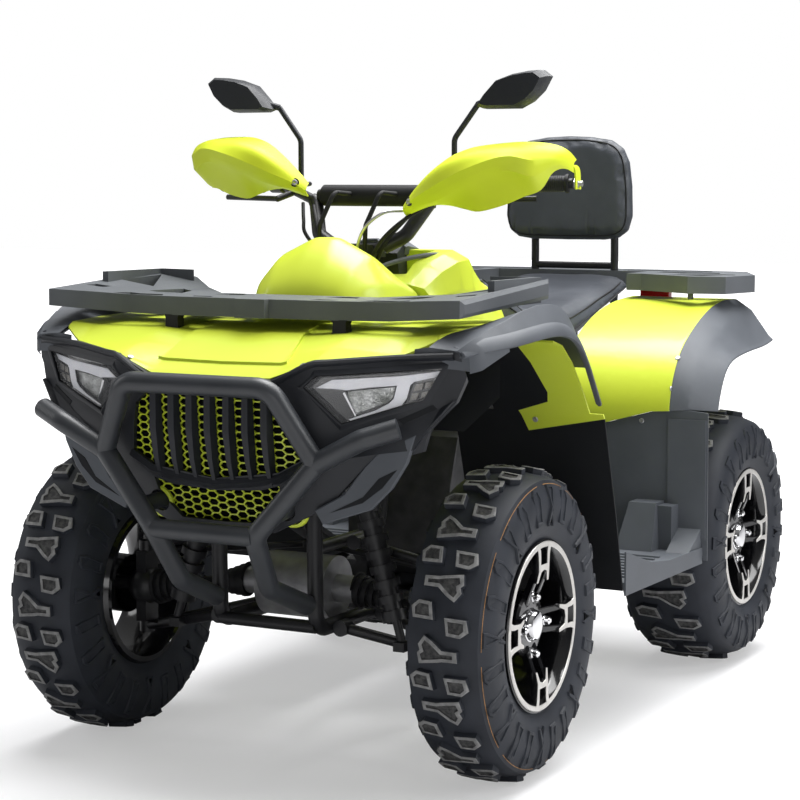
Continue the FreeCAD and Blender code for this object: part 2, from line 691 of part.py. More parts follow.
def front_flare():
    """Left front flare: shoulder, outer face and the lip turned under it."""
    wide = sheet_along([
        (-832, [(418, 864), (462, 864), (478, 852)]),
        (-780, [(418, 884), (488, 888), (512, 862)]),
        (-720, [(418, 890), (504, 908), (534, 868)]),
        (-650, [(418, 894), (511, 926), (543, 874)]),
        (-580, [(418, 895), (514, 935), (546, 878)]),
        (-520, [(418, 895), (515, 935), (546, 876)]),
        (-470, [(416, 892), (515, 928), (546, 866)]),
        (-430, [(412, 886), (515, 912), (546, 846)]),
        (-392, [(402, 874), (514, 884), (546, 812)]),
        (-352, [(392, 846), (512, 846), (545, 766)]),
        (-315, [(384, 800), (511, 798), (544, 722)]),
    ], -WALL)
    return wide.cut(nose_sheet(NOSE_WALL + SEAT_GAP))


def arch_wall():
    """Left wall behind the front wheel, as its yellow panel and its black rest."""
    line = [(-500, 862), (-452, 850), (-398, 812), (-335, 745), (-289, 690), (-214, 470), (-171, FLOOR_LOW)]
    wall = sheet_across([(205, line), (545, line)], -WALL, False)
    for x0, x1 in ((0, 300), (516, 600)):
        wall = wall.cut(box(x0, x1, -600, 0, WALL_SEAM, 1000))
    outline = [(408, 900), (437, 743), (430, 722), (356, 699), (372, 656), (600, 700), (600, 900)]
    panel = prism([(x, -600, z) for x, z in outline], (0, 600, 0))
    room = prism([(x, -600, z) for x, z in inward(outline, -SEAT_GAP)], (0, 600, 0))
    black = max(wall.cut(room).Solids, key=lambda piece: piece.Volume)
    return wall.common(panel), black


def inward(outline, width):
    """A closed outline moved square to its sides, inward for a positive width."""
    count = len(outline)
    area = sum(outline[i - 1][0] * outline[i][1] - outline[i][0] * outline[i - 1][1]
               for i in range(count))
    moved = []
    for i, (x, y) in enumerate(outline):
        ax, ay = outline[i - 1]
        bx, by = outline[(i + 1) % count]
        before, after = math.hypot(x - ax, y - ay), math.hypot(bx - x, by - y)
        n0 = (-(y - ay) / before, (x - ax) / before)
        n1 = (-(by - y) / after, (bx - x) / after)
        share = width * math.copysign(1, area) / (1 + n0[0] * n1[0] + n0[1] * n1[1])
        moved.append((x + (n0[0] + n1[0]) * share, y + (n0[1] + n1[1]) * share))
    return moved


def floor():
    """Left footboard between the two walls, with its outer skirt."""
    outline = [(205, -170.7), (550, -170.7), (550, HEEL_Y + 27.9), (225, HEEL_Y + 1.5), (205, HEEL_Y)]
    board = prism([(x, y, FLOOR_LOW) for x, y in outline], (0, 0, FLOOR_TOP - FLOOR_LOW))
    back = HEEL_Y + 25
    edge = [(-170.7, 302), (back, 296), (back, 333), (100, 338), (-17, 352), (-170.7, 396)]
    return board.fuse(prism([(546.5, y, z) for y, z in edge], (4, 0, 0)))


SEAM_LINE = [(190, 604), (312, 614), (428, 646), (518, 651), (600, 643)]


def seam_room(shift):
    """Everything below the seam between the heel wall and the fender."""
    line = [(x, z + shift) for x, z in SEAM_LINE]
    points = [(600, 0), (190, 0)] + line
    return prism([(x, 0, z) for x, z in points], (0, 1000, 0))


def block(low, z0, high, z1):
    """Tapered block between two outlines of (x, y)."""
    return Part.makeLoft([polygon([(x, y, z0) for x, y in low]),
                          polygon([(x, y, z1) for x, y in high])], True, True)


def heel_wall():
    """Left wall before the rear wheel, with its raised panel, foot blocks and ramp."""
    y0 = HEEL_Y
    low = FLOOR_TOP + SEAT_GAP
    wall = sheet_across([(225, [(y0 + 2, 314), (y0, 670)]),
                         (560, [(y0 + 30, 302), (y0 + 18, 670)])], -WALL, False)
    panel = block([(466, y0 + 17), (556, y0 + 25), (556, y0 + 32), (474, y0 + 25)], 350,
                  [(466, y0 + 9), (556, y0 + 14), (556, y0 + 21), (474, y0 + 17)], 630)
    toe = block([(372, y0 - 74), (462, y0 - 74), (462, y0 + 24), (372, y0 + 17)], low,
                [(392, y0 - 38), (457, y0 - 38), (457, y0 + 20), (392, y0 + 16)], 438)
    step = block([(456, y0 - 28), (492, y0 - 28), (492, y0 + 27), (456, y0 + 23)], low,
                 [(456, y0 - 28), (492, y0 - 28), (492, y0 + 22), (456, y0 + 20)], 432)
    ramp = block([(492, y0 - 64), (546, y0 - 64), (546, y0 + 31), (492, y0 + 27)], low,
                 [(492, y0 + 18), (546, y0 + 23), (546, y0 + 29), (492, y0 + 25)], 376)
    return fuse([wall.common(seam_room(0)), toe, step, ramp, panel])


FENDER_INNER = [(HEEL_Y + 2, 590), (HEEL_Y + 18, 720), (365, 778), (455, 832), (590, 872), (790, 890)]
FENDER_SEAM_LINE = [(HEEL_Y + 14, 590), (HEEL_Y + 26, 720), (366, 772), (455, 828), (590, 876), (790, 888)]
FLARE_MID = [(HEEL_Y + 26, 590), (HEEL_Y + 42, 715), (384, 758), (468, 806), (594, 846), (790, 862)]
FLARE_EDGE = [(HEEL_Y + 56, 590), (HEEL_Y + 88, 705), (428, 748), (520, 775), (640, 785), (790, 800)]
FLARE_LIP = [(HEEL_Y + 64, 590), (HEEL_Y + 96, 702), (433, 742), (522, 768), (640, 777), (790, 792)]


def above_seam(shape):
    return shape.common(box(0, 600, 0, 1000, 500, 1000)).cut(seam_room(SEAT_GAP))


def rear_fender():
    """Left yellow rear fender from the seat to the flare."""
    return above_seam(sheet_across([(197, FENDER_INNER), (470, FENDER_SEAM_LINE)], -WALL))


def rear_flare():
    """Left rear flare with its drooping outer edge and lip."""
    return above_seam(sheet_across([(470 + SEAT_GAP, FENDER_SEAM_LINE), (510, FLARE_MID),
                                    (556, FLARE_EDGE), (566, FLARE_LIP)], -WALL))


def tank_cover():
    """Central cover from the pod to the seat, with the two yellow humps."""
    stations = [
        (-404.5, [(198, 800), (205, 930), (186, 952), (150, 960)]),
        (-340, [(199, 790), (210, 940), (196, 985), (160, 1000)]),
        (-280, [(200, 780), (214, 945), (204, 1004), (172, 1022)]),
        (-215, [(200, 765), (214, 940), (200, 1008), (160, 1028)]),
        (-150, [(197, 755), (208, 920), (182, 980), (140, 1004)]),
        (-70, [(189, 742), (196, 890), (168, 944), (132, 964)]),
        (8, [(180, 730), (185, 870), (160, 928), (126, 950)]),
    ]
    rings = [(y, [(-x, z) for x, z in half] + [(x, z) for x, z in reversed(half)])
             for y, half in stations]
    shell = solid_along(rings)
    trough = box(-128, 128, -420, -232, 975, 1100)
    hollow = box(-150, 150, -380, -20, 700, 940)
    column = cylinder(tuple(axis_point(250)), tuple(axis_point(700)), 45)
    return shell.cut(fuse([trough, hollow, column]))


def dash():
    """Instrument housing behind the bars."""
    sections = [
        (-271, [(-60, 975.3), (60, 975.3), (55, 1020), (-55, 1020)]),
        (-235, [(-62, 975.3), (62, 975.3), (58, 1046), (-58, 1046)]),
    ]
    return solid_along(sections)


def seat():
    """Seat cushion solid."""
    sections = [
        (12, [(-150, 880), (150, 880), (160, 925), (110, 975), (-110, 975), (-160, 925)]),
        (200, [(-165, 790), (165, 790), (180, 850), (150, 890), (-150, 890), (-180, 850)]),
        (400, [(-175, 775), (175, 775), (192, 820), (165, 868), (-165, 868), (-192, 820)]),
        (620, [(-165, 840), (165, 840), (190, 870), (165, 905), (-165, 905), (-190, 870)]),
        (850, [(-150, 895), (150, 895), (170, 915), (145, 948), (-145, 948), (-170, 915)]),
    ]
    return solid_along(sections)


def backrest_pad():
    """Backrest cushion solid with rounded corners and edges."""
    half = [(0, 1018), (110, 1020), (158, 1030), (182, 1056), (190, 1096), (187, 1170), (178, 1236),
            (160, 1276), (126, 1300), (66, 1309), (0, 1312)]
    whole = half + [(-x, z) for x, z in reversed(half) if x > 0]
    edge = inward(whole, 12)
    return solid_along([(800, edge), (810, whole), (842, whole), (852, edge)])


def backrest_frame():
    """Two posts from the rear rack up into the pad."""
    low = REAR_DECK_TOP + SEAT_GAP
    left = tube([(112, 868, low), (112, 868, 1000), (112, 862.5, 1180)], 10, 30)
    bar = cylinder((-112, 868, low + 12), (112, 868, low + 12), 9)
    return fuse([left, mirror(left), bar])


FRONT_RACK_HOLES = [
    [(222, -764), (338, -770), (318, -734), (240, -732)],
    [(350, -602), (440, -588), (430, -448)],
    [(402, -712), (444, -712), (438, -686), (396, -686)],
    [(112, -756), (158, -756), (166, -734), (120, -734)],
    [(96, -660), (166, -660), (152, -620), (110, -620)],
    [(236, -670), (316, -670), (300, -560), (262, -590)],
]


def front_rack(hood_skin):
    """Moulded front rack deck: flat middle, wings rising outward, on feet."""
    low, top = FRONT_DECK_TOP - 37, FRONT_DECK_TOP
    middle = prism([(-182, -780, low), (-38, -785, low), (-34, -796, low), (34, -796, low),
                    (38, -785, low), (182, -780, low), (182, -600.5, low), (-182, -600.5, low)],
                   (0, 0, top - low))
    wing = Part.makeLoft([
        polygon([(182, -780, low), (182, -600.5, low), (182, -600.5, top), (182, -780, top)]),
        polygon([(295, -772, 906), (295, -470, 908), (295, -470, 946), (295, -772, 943)]),
        polygon([(380, -793, 912), (380, -384, 925), (380, -384, 964), (380, -793, 948)]),
        polygon([(462, -816, 918), (462, -400, 938), (462, -400, 978), (462, -816, 952)]),
        polygon([(468, -806, 926), (468, -412, 946), (468, -412, 970), (468, -806, 944)]),
    ], True, True)
    rail = prism([(352, -440, 930), (452, -412, 930), (452, -640, 930), (438, -640, 930),
                  (438, -440, 930)], (0, 0, 52))
    foot = cylinder((190, -770, 800), (190, -770, 906), 9)
    lifted = hood_skin.copy()
    lifted.translate(V(0, 0, SEAT_GAP))
    foot = max(foot.cut(lifted).Solids, key=lambda piece: piece.BoundBox.ZMin)
    deck = fuse([middle, wing, mirror(wing), rail, mirror(rail), foot, mirror(foot)])
    for outline in FRONT_RACK_HOLES:
        hole = prism([(x, y, 880) for x, y in outline], (0, 0, 120))
        deck = deck.cut(hole).cut(mirror(hole))
    return deck


RACK_REAR = [(0, 700), (250, 700), (410, 590), (500, 610), (527, 757), (435, 978), (180, 1014), (0, 1014)]


REAR_RACK_HOLES = [
    [(250, 800), (420, 800), (404, 858), (250, 858)],
    [(300, 690), (428, 636), (470, 690)],
    [(330, 726), (486, 726), (474, 762), (330, 762)],
    [(120, 900), (372, 900), (352, 944), (120, 944)],
]


def rear_rack(fender):
    """Moulded rear rack deck with its supports."""
    half = prism([(x, y, REAR_DECK_TOP - 42) for x, y in RACK_REAR], (0, 0, 42))
    deck = fuse([half, mirror(half)])
    deck = deck.cut(box(-210, 210, 600, 851.5, 880, 1000))
    for outline in REAR_RACK_HOLES:
        hole = prism([(x, y, 880) for x, y in outline], (0, 0, 120))
        deck = deck.cut(hole).cut(mirror(hole))
    rod = cylinder((380, 700, 800), (380, 700, 909), 7)
    lifted = fender.copy()
    lifted.translate(V(0, 0, SEAT_GAP))
    rod = max(rod.cut(lifted).Solids, key=lambda piece: piece.BoundBox.ZMin)
    stay_y = 820 + FRAME_R + 10 + SEAT_GAP
    stay = tube([(RAIL_X, stay_y, 670), (RAIL_X, stay_y, 720), (RAIL_X, 880, 909)], 10, 40)
    return fuse([deck, rod, mirror(rod), stay, mirror(stay)])


def tail_lamps():
    lamp = box(150, 230, 960, 985, 868, 907.5)
    return pair(lamp)


def muffler():
    """Silencer between the rear rails, its head pipe, tail and hanger."""
    x = -20
    body = cylinder((x, 440, 560), (x, 790, 560), 55)
    tail = tube([(x, 780, 560), (x, 840, 560), (x, 900, 545)], 17, 40)
    head = tube([(x, ENGINE_Y[1] + SEAT_GAP, 450), (x, 330, 450), (x, 380, 560), (x, 450, 560)], 17, 30)
    hanger = box(x - 6, x + 6, 770, 828, 600, 690 - BRACE_R - SEAT_GAP)
    return fuse([body, tail, head, hanger])


def tow_hitch():
    """Hitch plate with one hole, behind the rear cross member."""
    front = 800 + BRACE_R + SEAT_GAP
    plate = box(-40, 40, front, 900, REAR_CROSS_Z - 5, REAR_CROSS_Z + 5)
    hole = cylinder((0, 872, 250), (0, 872, 350), 10.5)
    return plate.cut(hole)


def rear_arms():
    """Left rear wishbones and the hub carrier they hold."""
    parts = arm_pair((585, 765), RAIL_X + FRAME_R, 280, (350, REAR_AXLE_Y, 235), LOWER_ARM_R)
    parts += arm_pair((640, 710), RAIL_X + BRACE_R, 470, (350, REAR_AXLE_Y, 400), UPPER_ARM_R)
    parts.append(box(REAR_CARRIER_X, REAR_CARRIER_X + 24, REAR_AXLE_Y - 30, REAR_AXLE_Y + 30, 220, 412))
    parts.append(box(250, 274, 708, 768, 246, SHOCK_FOOT_Z - 3))
    parts.append(cylinder((REAR_CARRIER_X + 4, REAR_AXLE_Y, TYRE_R),
                          (REAR_TRACK_X + REAR_RIM_HALF - 36, REAR_AXLE_Y, TYRE_R), SPINDLE_R))
    return fuse(parts)


def shock(foot, head):
    """One coil-over: damper, spring collars and coils as a ribbed sleeve."""
    foot, head = V(*foot), V(*head)
    run = head - foot
    length = run.Length
    line = [(0, 0), (0, 9), (length * 0.12, 9), (length * 0.12, 27)]
    coils = 8
    pitch = length * 0.72 / coils
    for i in range(coils):
        start = length * 0.14 + pitch * i
        line += [(start, 27), (start + pitch * 0.5, 27), (start + pitch * 0.5, 20), (start + pitch, 20)]
    line += [(length * 0.88, 27), (length * 0.9, 27), (length * 0.9, 9), (length, 9), (length, 0)]
    spun_line = Part.Face(polygon([(r, 0, a) for a, r in line])).revolve(V(0, 0, 0), V(0, 0, 1), 360)
    spun_line.Placement = FreeCAD.Placement(foot, FreeCAD.Rotation(V(0, 0, 1), run))
    return spun_line


# Steering head


def handlebar():
    """Bar, cross tube and clamp on the column's top."""
    half = [(430, -200, 1170), (240, -246, 1166), (138, -281, 1130), (104, -328, 1058), (40, -345, 1030)]
    whole = half + [(-x, y, z) for x, y, z in reversed(half)]
    bar = tube(whole, BAR_R, 22)
    cross = cylinder((-128, -285, 1143), (128, -285, 1143), 13)
    clamp = box(-42, 42, -358, -300, 1012, 1040)
    socket = cylinder(tuple(axis_point(COLUMN_TOP + SEAT_GAP)), tuple(axis_point(COLUMN_TOP + 24)), 20)
    lever = cylinder((205, -258, 1150), (230, -290, 1135), 7)
    blade = cylinder((230, -290, 1135), (375, -262, 1138), 6)
    joint = Part.makeSphere(7, V(230, -290, 1135))
    left = fuse([lever, blade, joint])
    return fuse([bar, cross, clamp, socket, left, mirror(left)])


def steering_column():
    """Raked column with the pitman plate at its foot."""
    shaft = cylinder(tuple(axis_point(-12)), tuple(axis_point(COLUMN_TOP)), COLUMN_R)
    plate = Part.makeBox(76, 95, 10, V(-38, -8, -5))
    plate.Placement = FreeCAD.Placement(COLUMN_FOOT, FreeCAD.Rotation(V(1, 0, 0), -math.degrees(COLUMN_RAKE)))
    return fuse([shaft, plate])


def grips():
    bar_end, bar_bend = V(430, -200, 1170), V(240, -246, 1166)
    run = (bar_bend - bar_end).normalize()
    sleeve = Part.makeCylinder(GRIP_R, 125, bar_end + run * 8, run)
    bore = Part.makeCylinder(BAR_R + SEAT_GAP, 160, bar_end - run * 10, run)
    return pair(sleeve.cut(bore))


def mirrors():
    """Left mirror: bent stalk and a head with chamfered sides."""
    stalk = tube([(186, -262.5, 1161), (186, -264, 1263), (240, -264, 1334)], 6, 25)
    rim = [(246, 1330), (262, 1352), (291, 1382), (330, 1395), (368, 1401), (392, 1402),
           (410, 1389), (394, 1360), (370, 1338), (342, 1324), (262, 1324)]
    faces = []
    for y, size in ((-306, 0.84), (-290, 0.98), (-264, 1.0), (-258, 0.96)):
        faces.append((y, [(332 + (x - 332) * size, 1362 + (z - 1362) * size) for x, z in rim]))
    head = solid_along(faces)
    arm = cylinder((240, -264, 1334), (275, -276, 1345), 7)
    return fuse([stalk, arm, head])


def handguard():
    """Left hand guard shell in front of the grip, with a ridge along it."""
    sections = [
        (118, [(-352, 1108), (-362, 1116), (-367, 1124), (-362, 1134), (-350, 1142)]),
        (170, [(-364, 1110), (-384, 1122), (-394, 1142), (-382, 1170), (-356, 1190)]),
        (230, [(-362, 1113), (-388, 1128), (-404, 1158), (-384, 1200), (-344, 1224)]),
        (290, [(-352, 1120), (-378, 1140), (-396, 1172), (-370, 1220), (-326, 1244)]),
        (350, [(-330, 1130), (-354, 1152), (-374, 1186), (-346, 1232), (-298, 1253)]),
        (405, [(-296, 1146), (-320, 1164), (-338, 1192), (-316, 1226), (-272, 1249)]),
        (446, [(-252, 1158), (-272, 1170), (-284, 1190), (-268, 1212), (-238, 1228)]),
    ]
    shell = sheet_across(sections, -WALL, False)
    end_bar = cylinder((433.8, -200, 1170), (441, -200, 1170), BAR_R + 3)
    end_arm = cylinder((438.5, -203, 1170), (438.5, -293, 1188), 5)
    inner_arm = cylinder((150, -293, 1138), (155, -381, 1128), 5)
    bar_room = Part.makeCylinder(BAR_R + SEAT_GAP, 130, V(138, -281, 1130), V(102, 35, 36))
    return fuse([shell, end_bar, end_arm, inner_arm.cut(bar_room)])


def cables():
    """Cables from the cross tube down through the cover's opening."""
    path = [(70, -299, 1146), (66, -372, 1150), (42, -392, 1080), (26, -366, 1012)]
    hose = tube(path, 5, 18)
    other = tube([(x - 110, y, z) for x, y, z in path], 5, 18)
    return Part.makeCompound([hose, other])


def build():
    hood_skin, tank, cushion, fender = hood(), tank_cover(), seat(), rear_fender()
    bell_room = Part.makeSphere(40 + SEAT_GAP, V(KINGPIN_X, FRONT_AXLE_Y, TYRE_R))
    knee_panel, mudguard = arch_wall()
    carrier_room = box(REAR_CARRIER_X - SEAT_GAP, 500, 500, 800, 100, 500)
    side = side_frame()
    sides = pair(side)
    nodes = {
        "frame_left": side, "frame_right": mirror(side), "frame_crosses": frame_crosses(sides),
        "frame_brackets": frame_brackets(sides),
        "frame_posts": frame_posts(sides, hood_skin, tank, cushion, fender), "engine": engine(),
        "front_differential": differential(FRONT_AXLE_Y, DIFF_Z, 80, DIFF_REACH, 130),
        "rear_differential": differential(REAR_AXLE_Y, DIFF_Z, 80, DIFF_REACH, -130),
        "skid_plate": skid_plate(), "front_bumper": front_bumper(),
        "hood": hood_skin, "pod": pod(), "tank_cover": tank, "dash": dash(),
        "fascia": fascia(), "grille": grille(), "headlamps": headlamps(),
        "front_flares": pair(front_flare()), "knee_panels": pair(knee_panel),
        "front_mudguards": pair(mudguard),
        "footboards": pair(floor()), "heel_walls": pair(heel_wall()),
        "rear_fenders": pair(fender), "rear_flares": pair(rear_flare()),
        "seat": cushion, "backrest_pad": backrest_pad(), "backrest_frame": backrest_frame(),
        "front_rack": front_rack(hood_skin), "rear_rack": rear_rack(fender),
        "tail_lamps": tail_lamps(), "muffler": muffler(), "tow_hitch": tow_hitch(),
        "front_arms": pair(front_arms()), "rear_arms": pair(rear_arms()),
        "front_shocks": pair(shock((262, SHOCK_FRONT_Y, SHOCK_FOOT_Z), (165, SHOCK_FRONT_Y, 591.5))),
        "rear_shocks": pair(shock((262, SHOCK_REAR_Y, SHOCK_FOOT_Z), (165, SHOCK_REAR_Y, 676.5))),
        "front_half_shafts": pair(half_shaft(FRONT_AXLE_Y, DIFF_REACH, DIFF_Z, KINGPIN_X - 30, bell_room)),
        "rear_half_shafts": pair(half_shaft(REAR_AXLE_Y, DIFF_REACH, DIFF_Z, 347, carrier_room)),
        "handlebar": handlebar(), "steering_column": steering_column(), "grips": grips(),
        "mirrors": pair(mirrors()), "handguards": pair(handguard()), "cables": cables(),
    }
    nodes["knuckle_left"] = knuckle()
    nodes["knuckle_right"] = mirror(knuckle())
    nodes["tie_rod_left"] = tie_rod()
    nodes["tie_rod_right"] = mirror(tie_rod())
    corners = (("front", FRONT_AXLE_Y, FRONT_TRACK_X, FRONT_TYRE_HALF, FRONT_RIM_HALF, 60),
               ("rear", REAR_AXLE_Y, REAR_TRACK_X, REAR_TYRE_HALF, REAR_RIM_HALF, 120))
    for end, axle_y, track_x, half, rim_half, reach in corners:
        rubber = tyre(axle_y, track_x, half, rim_half)
        metal = rim(axle_y, track_x, rim_half, reach)
        nodes["tyre_%s_left" % end] = rubber
        nodes["tyre_%s_right" % end] = rubber.translated(V(-2 * track_x, 0, 0))
        nodes["rim_%s_left" % end] = metal
        nodes["rim_%s_right" % end] = mirror(metal)
    return nodes


os.makedirs("parts", exist_ok=True)
for name, shape in build().items():
    shape.exportStep("parts/%s.step" % name)
    print(name, shape.ShapeType, len(shape.Solids), shape.isValid(), round(shape.Volume / 1000))
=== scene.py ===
# %% [markdown]
# # A quad bike dressed around its CAD frame
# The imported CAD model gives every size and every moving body. This script keeps
# it as a fixed frame and builds the looks on it: materials, tread, grille, trim,
# padding and small parts. Lengths are in metres, and outlines are typed in
# millimetres. +X is the rider's left, -Y is forward and +Z is up.

# %% Load the frame
import bpy
import json
import math
from mathutils import Matrix, Vector


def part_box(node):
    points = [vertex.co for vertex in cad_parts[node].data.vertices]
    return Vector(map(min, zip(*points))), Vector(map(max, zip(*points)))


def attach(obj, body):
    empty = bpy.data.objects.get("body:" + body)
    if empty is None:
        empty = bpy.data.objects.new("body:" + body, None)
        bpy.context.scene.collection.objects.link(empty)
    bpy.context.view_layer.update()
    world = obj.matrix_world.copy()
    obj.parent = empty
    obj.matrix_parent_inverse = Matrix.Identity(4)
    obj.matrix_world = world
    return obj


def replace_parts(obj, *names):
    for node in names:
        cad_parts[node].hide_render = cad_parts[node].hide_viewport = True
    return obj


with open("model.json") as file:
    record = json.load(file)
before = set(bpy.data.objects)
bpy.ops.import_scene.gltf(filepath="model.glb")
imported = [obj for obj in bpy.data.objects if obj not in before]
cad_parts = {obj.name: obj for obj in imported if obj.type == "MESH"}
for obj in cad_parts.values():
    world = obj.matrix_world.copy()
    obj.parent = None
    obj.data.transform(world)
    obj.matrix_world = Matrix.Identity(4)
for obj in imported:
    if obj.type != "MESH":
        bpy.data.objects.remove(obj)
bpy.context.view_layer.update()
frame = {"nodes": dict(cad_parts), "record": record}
nodes = frame["nodes"]
scene = bpy.context.scene

# %% [markdown]
# ## Camera
# The vehicle is seen from its front left, at the height of the handlebar and from
# far off. A camera can be placed by eye, but here its place, its three turns and
# its long lens were fitted to straight and symmetric features, so that every edge
# falls where it should.

# %% Place the camera
CAMERA_AT = (2.13573, -4.36012, 1.14812)
CAMERA_TURN, CAMERA_TIP, CAMERA_ROLL = 27.2337, 84.4825, 0.2546
CAMERA_LENS = 95.976
CAMERA_SHIFT = (0.016875, -0.000962)

camera = bpy.data.objects.new("camera", bpy.data.cameras.new("camera"))
scene.collection.objects.link(camera)
scene.camera = camera
camera.location = CAMERA_AT
turn = Matrix.Rotation(math.radians(CAMERA_TURN), 4, "Z")
tip = Matrix.Rotation(math.radians(CAMERA_TIP), 4, "X")
roll = Matrix.Rotation(math.radians(CAMERA_ROLL), 4, "Z")
camera.rotation_euler = (turn @ tip @ roll).to_euler()
camera.data.sensor_width = 36.0
camera.data.lens = CAMERA_LENS
camera.data.shift_x, camera.data.shift_y = CAMERA_SHIFT
print("camera at", [round(v, 2) for v in camera.location])

# %% [markdown]
# ## Studio background
# The vehicle stands before plain white. A white world alone would light it evenly
# from all sides and flatten it. So the white is shown only to the camera, and a
# dim sky that darkens downward lights the object.

# %% Set up the world
SKY_STRENGTH = 0.26
LOW_SKY = (0.0, (0.10, 0.105, 0.12, 1))
HIGH_SKY = (0.8, (1, 1, 1, 1))


def add_node(tree, kind, **inputs):
    """Add a shader node and set its inputs, whose names have _ for a space."""
    made = tree.nodes.new("ShaderNode" + kind)
    for name, value in inputs.items():
        made.inputs[name.replace("_", " ")].default_value = value
    return made


def add_ramp(tree, low, high):
    """A colour ramp between two stops of (position, colour)."""
    ramp = add_node(tree, "ValToRGB")
    for stop, (position, colour) in zip(ramp.color_ramp.elements, (low, high)):
        stop.position = position
        stop.color = colour
    return ramp


scene.view_settings.view_transform = "Standard"
scene.world = bpy.data.worlds.new("studio")
scene.world.use_nodes = True
tree = scene.world.node_tree
tree.nodes.clear()
sky = add_node(tree, "Background", Strength=SKY_STRENGTH)
backdrop = add_node(tree, "Background", Color=(1, 1, 1, 1))
place = add_node(tree, "TexCoord")
split = add_node(tree, "SeparateXYZ")
shade = add_ramp(tree, LOW_SKY, HIGH_SKY)
path = add_node(tree, "LightPath")
choose = add_node(tree, "MixShader")
world_out = add_node(tree, "OutputWorld")
tree.links.new(place.outputs["Generated"], split.inputs[0])
tree.links.new(split.outputs["Z"], shade.inputs["Fac"])
tree.links.new(shade.outputs["Color"], sky.inputs["Color"])
tree.links.new(path.outputs["Is Camera Ray"], choose.inputs["Fac"])
tree.links.new(sky.outputs[0], choose.inputs[1])
tree.links.new(backdrop.outputs[0], choose.inputs[2])
tree.links.new(choose.outputs[0], world_out.inputs["Surface"])
print("world nodes:", len(tree.nodes))

# %% [markdown]
# ## Floor
# The ground is pale and has no edge, but it takes soft shadows under the wheels.
# A white plane would show its horizon. This one also glows for the camera, dimly
# near the object and fully four metres out, so it melts into the background.

# %% Lay the floor
FLOOR_REACH = 30
FLOOR_COLOUR = (0.55, 0.55, 0.56, 1)
GLOW_NEAR, GLOW_FAR = (1.0, 0.42), (4.0, 1.0)


def paint_floor():
    material = bpy.data.materials.new("floor_paint")
    material.use_nodes = True
    tree = material.node_tree
    surface = tree.nodes["Principled BSDF"]
    surface.inputs["Base Color"].default_value = FLOOR_COLOUR
    surface.inputs["Roughness"].default_value = 0.9
    surface.inputs["Emission Color"].default_value = (1, 1, 1, 1)
    seen = add_node(tree, "LightPath")
    glow = add_node(tree, "Math")
    glow.operation = "MULTIPLY"
    far = add_node(tree, "VectorMath")
    far.operation = "LENGTH"
    fade = add_node(tree, "MapRange", From_Min=GLOW_NEAR[0], From_Max=GLOW_FAR[0],
                    To_Min=GLOW_NEAR[1], To_Max=GLOW_FAR[1])
    tree.links.new(add_node(tree, "TexCoord").outputs["Object"], far.inputs[0])
    tree.links.new(far.outputs["Value"], fade.inputs["Value"])
    tree.links.new(fade.outputs["Result"], glow.inputs[1])
    tree.links.new(seen.outputs["Is Camera Ray"], glow.inputs[0])
    tree.links.new(glow.outputs[0], surface.inputs["Emission Strength"])
    return material


corners = [(x * FLOOR_REACH, y * FLOOR_REACH, 0) for x, y in ((-1, -1), (1, -1), (1, 1), (-1, 1))]
floor_mesh = bpy.data.meshes.new("floor")
floor_mesh.from_pydata(corners, [], [(0, 1, 2, 3)])
floor_mesh.materials.append(paint_floor())
floor = bpy.data.objects.new("floor", floor_mesh)
scene.collection.objects.link(floor)
print("floor reach:", FLOOR_REACH)

# %% [markdown]
# ## Lamps
# The light is broad and comes from above and a little behind, with weak fills in
# front and at the sides. Small lamps would burn hard spots into the glossy
# yellow, so a wide sun and large soft panels are used.

# %% Hang the lamps
SUN_STRENGTH, SUN_SPREAD = 2.2, 35
SUN_WAY = (0.10, -0.24, -1)
PANELS = [("overhead", (0.6, 0.6, 3.1), (0, -0.1, 0.6), (2.6, 2.8), 145),
          ("front", (1.4, -4.2, 0.9), (0, -0.4, 0.5), (2.4, 0.8), 14),
          ("side", (4.0, -0.2, 2.4), (0, 0, 0.6), (1.0, 2.8), 62),
          ("far_side", (-3.8, -1.6, 2.2), (0, -0.4, 0.7), (0.8, 2.2), 18)]


def add_lamp(name, kind, power, way):
    """A lamp that shines along a direction."""
    lamp = bpy.data.objects.new(name, bpy.data.lights.new(name, kind))
    lamp.data.energy = power
    lamp.rotation_euler = Vector(way).to_track_quat("-Z", "Y").to_euler()
    scene.collection.objects.link(lamp)
    return lamp


sun = add_lamp("sun", "SUN", SUN_STRENGTH, SUN_WAY)
sun.data.angle = math.radians(SUN_SPREAD)
for name, place, target, size, power in PANELS:
    panel = add_lamp(name, "AREA", power, Vector(target) - Vector(place))
    panel.location = place
    panel.data.shape = "RECTANGLE"
    panel.data.size, panel.data.size_y = size
print("lamps:", 1 + len(PANELS))

# %% [markdown]
# ## Materials
# The real surfaces are moulded plastics, coated steel, rubber, vinyl and alloy.
# A single flat colour looks like a toy's, and a picture wrapped round a part would
# stretch. So one builder makes them all from noise in space: a base colour that
# drifts between two tones, a roughness that varies, and fine bumps at the scale
# of the real grain.


